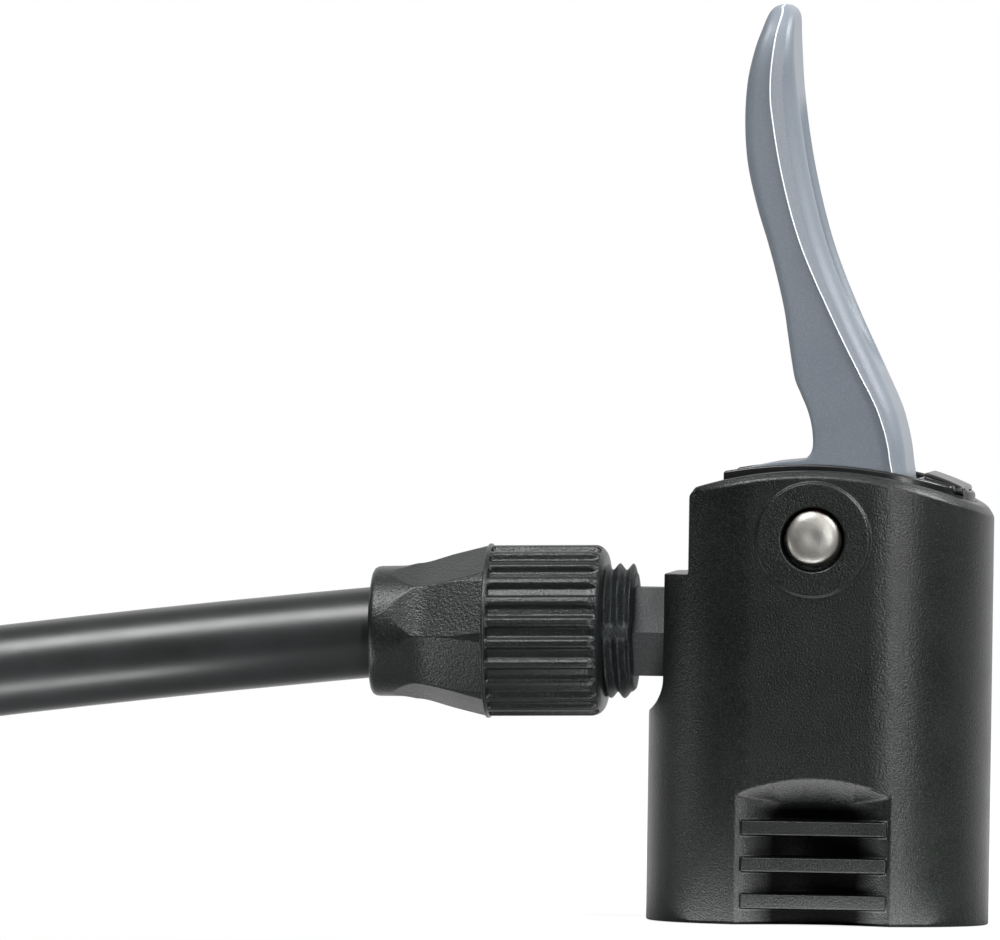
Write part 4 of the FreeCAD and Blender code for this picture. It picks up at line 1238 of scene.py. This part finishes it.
@dataclass(frozen=True)
class Head:
    """The housing with its slot liner, the pivot rivet, and the cap and gland at the valve mouth."""

    pivot: float = 40.4
    half: float = 12.0
    grip_centre: float = 0.5
    grip_half: float = 8.5
    grip_depth: float = 2.5
    ceiling: float = 13.6
    ceiling_top: float = 15.4
    ceiling_fall: float = 0.9
    ceiling_share: float = 0.85
    full_depth: float = 3.1
    depth_power: float = 1.5
    # play at edges, the nearness that puts a point on a surface, and the least depth of a moved point
    play: float = 0.05
    near: float = 0.03
    least: float = 0.02
    head_radius: float = 2.98
    head_proud: float = 0.85
    head_shift: float = 0.26
    # where a head begins, and the stretch over which its sways begin
    seat: float = 10.35
    sway_run: float = 0.4
    columns: int = 96
    # size, count and phase of the sines that let the head's outline in and out
    sways: tuple[tuple[float, int, float], ...] = ((0.018, 2, 0.6), (0.012, 3, 2.0), (0.006, 7, 0.0))
    squeeze: float = 2.4

    def rivet(self) -> None:
        """Turns the rivet about Y: a shank with an upset head at each end.

        A head is domed round a shallow dimple. Its outline is let in and out by slow sines of the angle,
        as a hammered head is, and it sits a little above the recess's middle.
        """
        top = self.half + self.head_proud
        side = [
            (top - 0.1, 0.0, 0.0),
            (top, 1.3, 0.6),
            (top - 0.28, 2.4, 0.5),
            (top - 0.8, 2.85, 0.3),
            (top - 1.5, self.head_radius, 0.3),
            (self.seat, self.head_radius, 0.1),
            (self.seat, 2.5, 0.0),
        ]
        both = side + [(-along, radius, size) for along, radius, size in reversed(side)]
        line = spread(rounded(both, steps=7), 0.4)
        grid = turned(line, Axis.Y, (0, 0, self.pivot), self.columns)
        angle = circle(self.columns)
        sway = 1 + sum(size * np.sin(count * angle + phase) for size, count, phase in self.sways)
        outer = np.clip((np.abs(line[:, 0]) - self.seat) / self.sway_run, 0, 1)[:, None, None]
        centre = np.array([0, 0, self.pivot])
        swayed = centre + (grid - centre) * np.stack([sway, np.ones_like(sway), sway], axis=-1)
        grid = grid * (1 - outer) + (swayed + np.array([0, 0, self.head_shift])) * outer
        settle("upset_rivet", skin(grid), Body.HEAD, "steel", RIVET_STEEL, "pivot_rivet")

    def gland(self) -> None:
        """Turns the rubber gland about Z, rounded and slightly waisted."""
        corners = [
            (4.72, 4.5, 0.3),
            (4.72, 7.25, 0.4),
            (10.4, 7.0, 2.0),
            (16.08, 7.25, 0.4),
            (16.08, 4.05, 0.3),
            (5.7, 4.05, 0.4),
            (4.72, 4.5, 0.3),
        ]
        mesh = skin(turned(spread(rounded(corners), 0.5)[:-1], Axis.Z), ring=True)
        gland = settle("valve_gland", mesh, Body.HEAD, "seal_rubber", SEAL_RUBBER, "rubber_gland")
        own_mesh(gland)

    def deepen_grips(self, spots: np.ndarray) -> np.ndarray:
        """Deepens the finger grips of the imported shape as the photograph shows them.

        A point of a scoop's cylinder goes in so that the depth grows from nothing at the ends, with the
        power of one and a half, to its full value. A point of the ceiling goes down by its own depth's share.

        Args:
            spots: the housing's points, in millimetres.

        Returns:
            The moved points.
        """
        x, y, z = spots.T.copy()
        scoop = (self.grip_half**2 + self.grip_depth**2) / (self.grip_depth * 2)
        off = np.clip(np.abs(x - self.grip_centre), 0, self.grip_half)
        depth = np.sqrt(scoop**2 - off**2) - (scoop - self.grip_depth)
        own = self.half - np.abs(y)
        inside = np.abs(x - self.grip_centre) < self.grip_half - self.play
        low = self.ceiling - self.play
        in_scoop = inside & (z < low) & (np.abs(own - depth) < self.near) & (depth > self.least)
        at_height = (z >= low) & (z < self.ceiling_top + self.play)
        on_ceiling = inside & at_height & (own > self.least) & (own < self.grip_depth + self.play)
        z = np.where(on_ceiling, z - self.ceiling_fall * own / self.grip_depth, z)
        deep = np.where(on_ceiling, own * self.ceiling_share, own)
        fuller = self.full_depth * (depth / self.grip_depth) ** self.depth_power
        deep = np.where(in_scoop, fuller, deep)
        y = np.where(in_scoop | on_ceiling, np.sign(y) * (self.half - deep), y)
        return np.stack([x, y, z], axis=-1)

    def housing(self) -> None:
        """Softens the housing, with deeper grips."""
        piece = softened("moulded_housing", "housing", Body.HEAD, "housing_black", SPARK_NYLON, 0.22)
        mesh = piece.data
        flat = np.empty(len(mesh.vertices) * 3)
        mesh.vertices.foreach_get("co", flat)
        moved = self.deepen_grips(flat.reshape(-1, 3) / MM) * MM
        mesh.vertices.foreach_set("co", moved.ravel())
        mesh.update()

    def build(self) -> None:
        """Builds the pieces of the head."""
        self.housing()
        softened("moulded_liner", "slot_liner", Body.HEAD, "liner_black", POLISHED_NYLON, 0.25)
        softened("screwed_cap", "valve_cap", Body.HEAD, "cap_black", POLISHED_NYLON, 0.2)
        self.rivet()
        self.gland()


@dataclass(frozen=True)
class Works:
    """The moving parts in the bore, below the lever's cam."""

    seal_height: float = 29.7
    seal_half: float = 0.9
    seal_inner: float = 6.06
    seal_outer: float = 7.54
    spring_top: float = 27.4
    pin_travel: float = 1.5

    def seal(self) -> None:
        """Turns the plunger's seal about Z, a pressed ring with round edges."""
        low, high = self.seal_height - self.seal_half, self.seal_height + self.seal_half
        corners = [
            (low, self.seal_inner, 0.3),
            (low, self.seal_outer, 0.6),
            (high, self.seal_outer, 0.6),
            (high, self.seal_inner, 0.3),
        ]
        seal = skin(turned(rounded(corners, ring=True), Axis.Z), ring=True)
        settle("plunger_seal", seal, Body.PLUNGER, "seal_rubber", SEAL_RUBBER, "plunger_o_ring")

    def spring(self) -> None:
        """Copies the pin's spring to a smooth piece on the plunger's body."""
        mesh = shell(merged_copy("depressor_spring"))
        spring = settle("pin_spring", mesh, Body.PLUNGER, "steel", PLATED_STEEL, "depressor_spring")
        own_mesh(spring)

    def build(self) -> None:
        """Builds the seal and spring and dresses the other metal parts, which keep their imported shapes."""
        self.seal()
        self.spring()
        TURNED_ALUMINIUM.coat(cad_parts["plunger"].data)
        for name in ("depressor_pin", "depressor_guide", "gland_washer_upper"):
            TURNED_BRASS.coat(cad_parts[name].data)


# Hose


@dataclass(frozen=True)
class Hose:
    """The rubber hose: a straight free stretch, a put-away coil, its strap and its screwed end."""

    diameter: float = 9.5
    length: float = 0.585
    level: float = 30.2
    exit: Spot = (-44.0, 0.0, 29.95)
    slope: float = 6.1
    first_run: float = 48.0
    turn_in: float = -139.5
    side: float = -8.0
    coil_centre: Span = (-174.0, 37.0)
    coil_radius: float = 45.0
    coil_low: float = 5.6
    layer_pitch: float = 10.1
    end_run: float = 9.5
    tail_run: float = 29.0
    turn: int = 540
    points_per_turn: int = 24
    strap_inner: float = 5.05
    strap_thick: float = 0.55
    strap_half: float = 4.0
    strap_shift: float = 0.06
    # points on a strap's half circle and round its section, and how square the section is
    strap_bend: int = 25
    strap_columns: int = 24
    strap_square: float = 40.0

    def route(self) -> list[Spot]:
        """Lists the hose's route: chosen points to the coil, then the coil's turns by formula.

        Returns:
            The route's points, in millimetres.
        """
        high = self.coil_low + self.layer_pitch
        fall = self.first_run * math.tan(math.radians(self.slope))
        points = [
            self.exit,
            (self.exit[0] - self.first_run, 0.0, self.exit[2] - fall),
            (self.turn_in, self.side, high),
            (self.coil_centre[0] + self.end_run, self.side, high),
        ]
        step = 360 / self.points_per_turn
        # control points of a smooth spline lie a little outside the circle that it follows
        reach = self.coil_radius / math.cos(math.radians(step / 2)) ** 0.5
        for number in range(int(self.turn / step) + 1):
            angle = number * step
            # the coil sinks from its upper layer to its lower one during the second half turn
            share = min(max((angle - 180) / 180, 0), 1)
            drop = share * share * (3 - 2 * share) * self.layer_pitch
            turned_by = math.radians(angle)
            x = self.coil_centre[0] - math.sin(turned_by) * reach
            y = self.coil_centre[1] - math.cos(turned_by) * reach
            points.append((x, y, high - drop))
        points.append((self.coil_centre[0] + self.tail_run, points[-1][1], self.coil_low))
        return points

    def clamped_end(self) -> None:
        """Turns the hose's straight end on the barb, about the nut's axis."""
        radius = self.diameter / 2
        corners = [
            (-43.9, 2.75, 0.0),
            (-43.9, radius, 0.1),
            (-31.2, radius, 0.3),
            (-31.2, 2.75, 0.1),
            (-43.9, 2.75, 0.0),
        ]
        end = skin(turned(rounded(corners)[:-1], Axis.X, (0, 0, self.level), 64), ring=True)
        settle("clamped_hose_end", end, Body.HEAD, "hose_rubber", HOSE_RUBBER, "hose_clamped_end")

    def strap(self) -> Piece:
        """Wraps the strap round the coil's two layers.

        Its path is a half circle over the upper layer, a straight drop, a half circle under the lower one,
        and back. Its section is flat with half-round edges.

        Returns:
            The strap.
        """
        upper = np.linspace(0, math.pi, self.strap_bend)
        angle = np.concatenate([upper, upper + math.pi])[:, None]
        level = np.repeat([self.coil_low + self.layer_pitch, self.coil_low], self.strap_bend)[:, None]
        turn = circle(self.strap_columns)[None, :]
        half = self.strap_thick / 2
        flat = np.clip(np.cos(turn) * self.strap_square, -1, 1)
        width = flat * (self.strap_half - half) + np.cos(turn) * half
        out = self.strap_inner + half + np.sin(turn) * half
        middle = self.coil_centre[0] - self.coil_radius + self.strap_shift
        x = middle + out * np.cos(angle)
        y = self.coil_centre[1] + width * np.ones_like(angle)
        grid = np.stack([x, y, level + out * np.sin(angle)], axis=-1)
        return settle("rubber_strap", skin(grid, ring=True), Body.HEAD, "tie_rubber", SEAL_RUBBER, "coil_tie")

    def build(self) -> None:
        route = self.route()
        curve = bpy.data.curves.new("hose", "CURVE")
        curve.dimensions = "3D"
        spline = curve.splines.new("NURBS")
        spline.points.add(len(route) - 1)
        for point, place in zip(spline.points, route, strict=True):
            point.co = (*(value * MM for value in place), 1.0)
        spline.order_u = 3
        spline.use_endpoint_u = True
        spline.resolution_u = 10
        curve.bevel_depth = self.diameter / 2 * MM
        curve.bevel_resolution = 12
        curve.use_fill_caps = True
        hose = settle("rubber_hose", curve, Body.HEAD, "hose_rubber", HOSE_RUBBER, "hose", "hose_coil")
        self.clamped_end()
        pieces = [
            self.strap(),
            softened("crimped_sleeve", "end_ferrule", Body.HEAD, "ferrule_steel", PLATED_STEEL, 0.2),
            softened("brass_fitting", "end_fitting", Body.HEAD, "brass", TURNED_BRASS, 0.1),
            softened("swivel_nut", "end_nut", Body.END_NUT, "stem_metal", PLATED_STEEL, 0.15),
        ]


def main() -> None:
    """Builds the studio and each sub-assembly, and reports the pieces."""
    logging.basicConfig(level=logging.INFO, format="%(name)s: %(message)s")
    Studio().build()
    for assembly in (Hose(), HoseNut(), AirStem(), Head(), Lever(), Works()):
        assembly.build()
        LOG.info("built %s", type(assembly).__name__)
    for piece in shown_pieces():
        LOG.info("piece %s", piece.name)


if __name__ == "__main__":
    main()
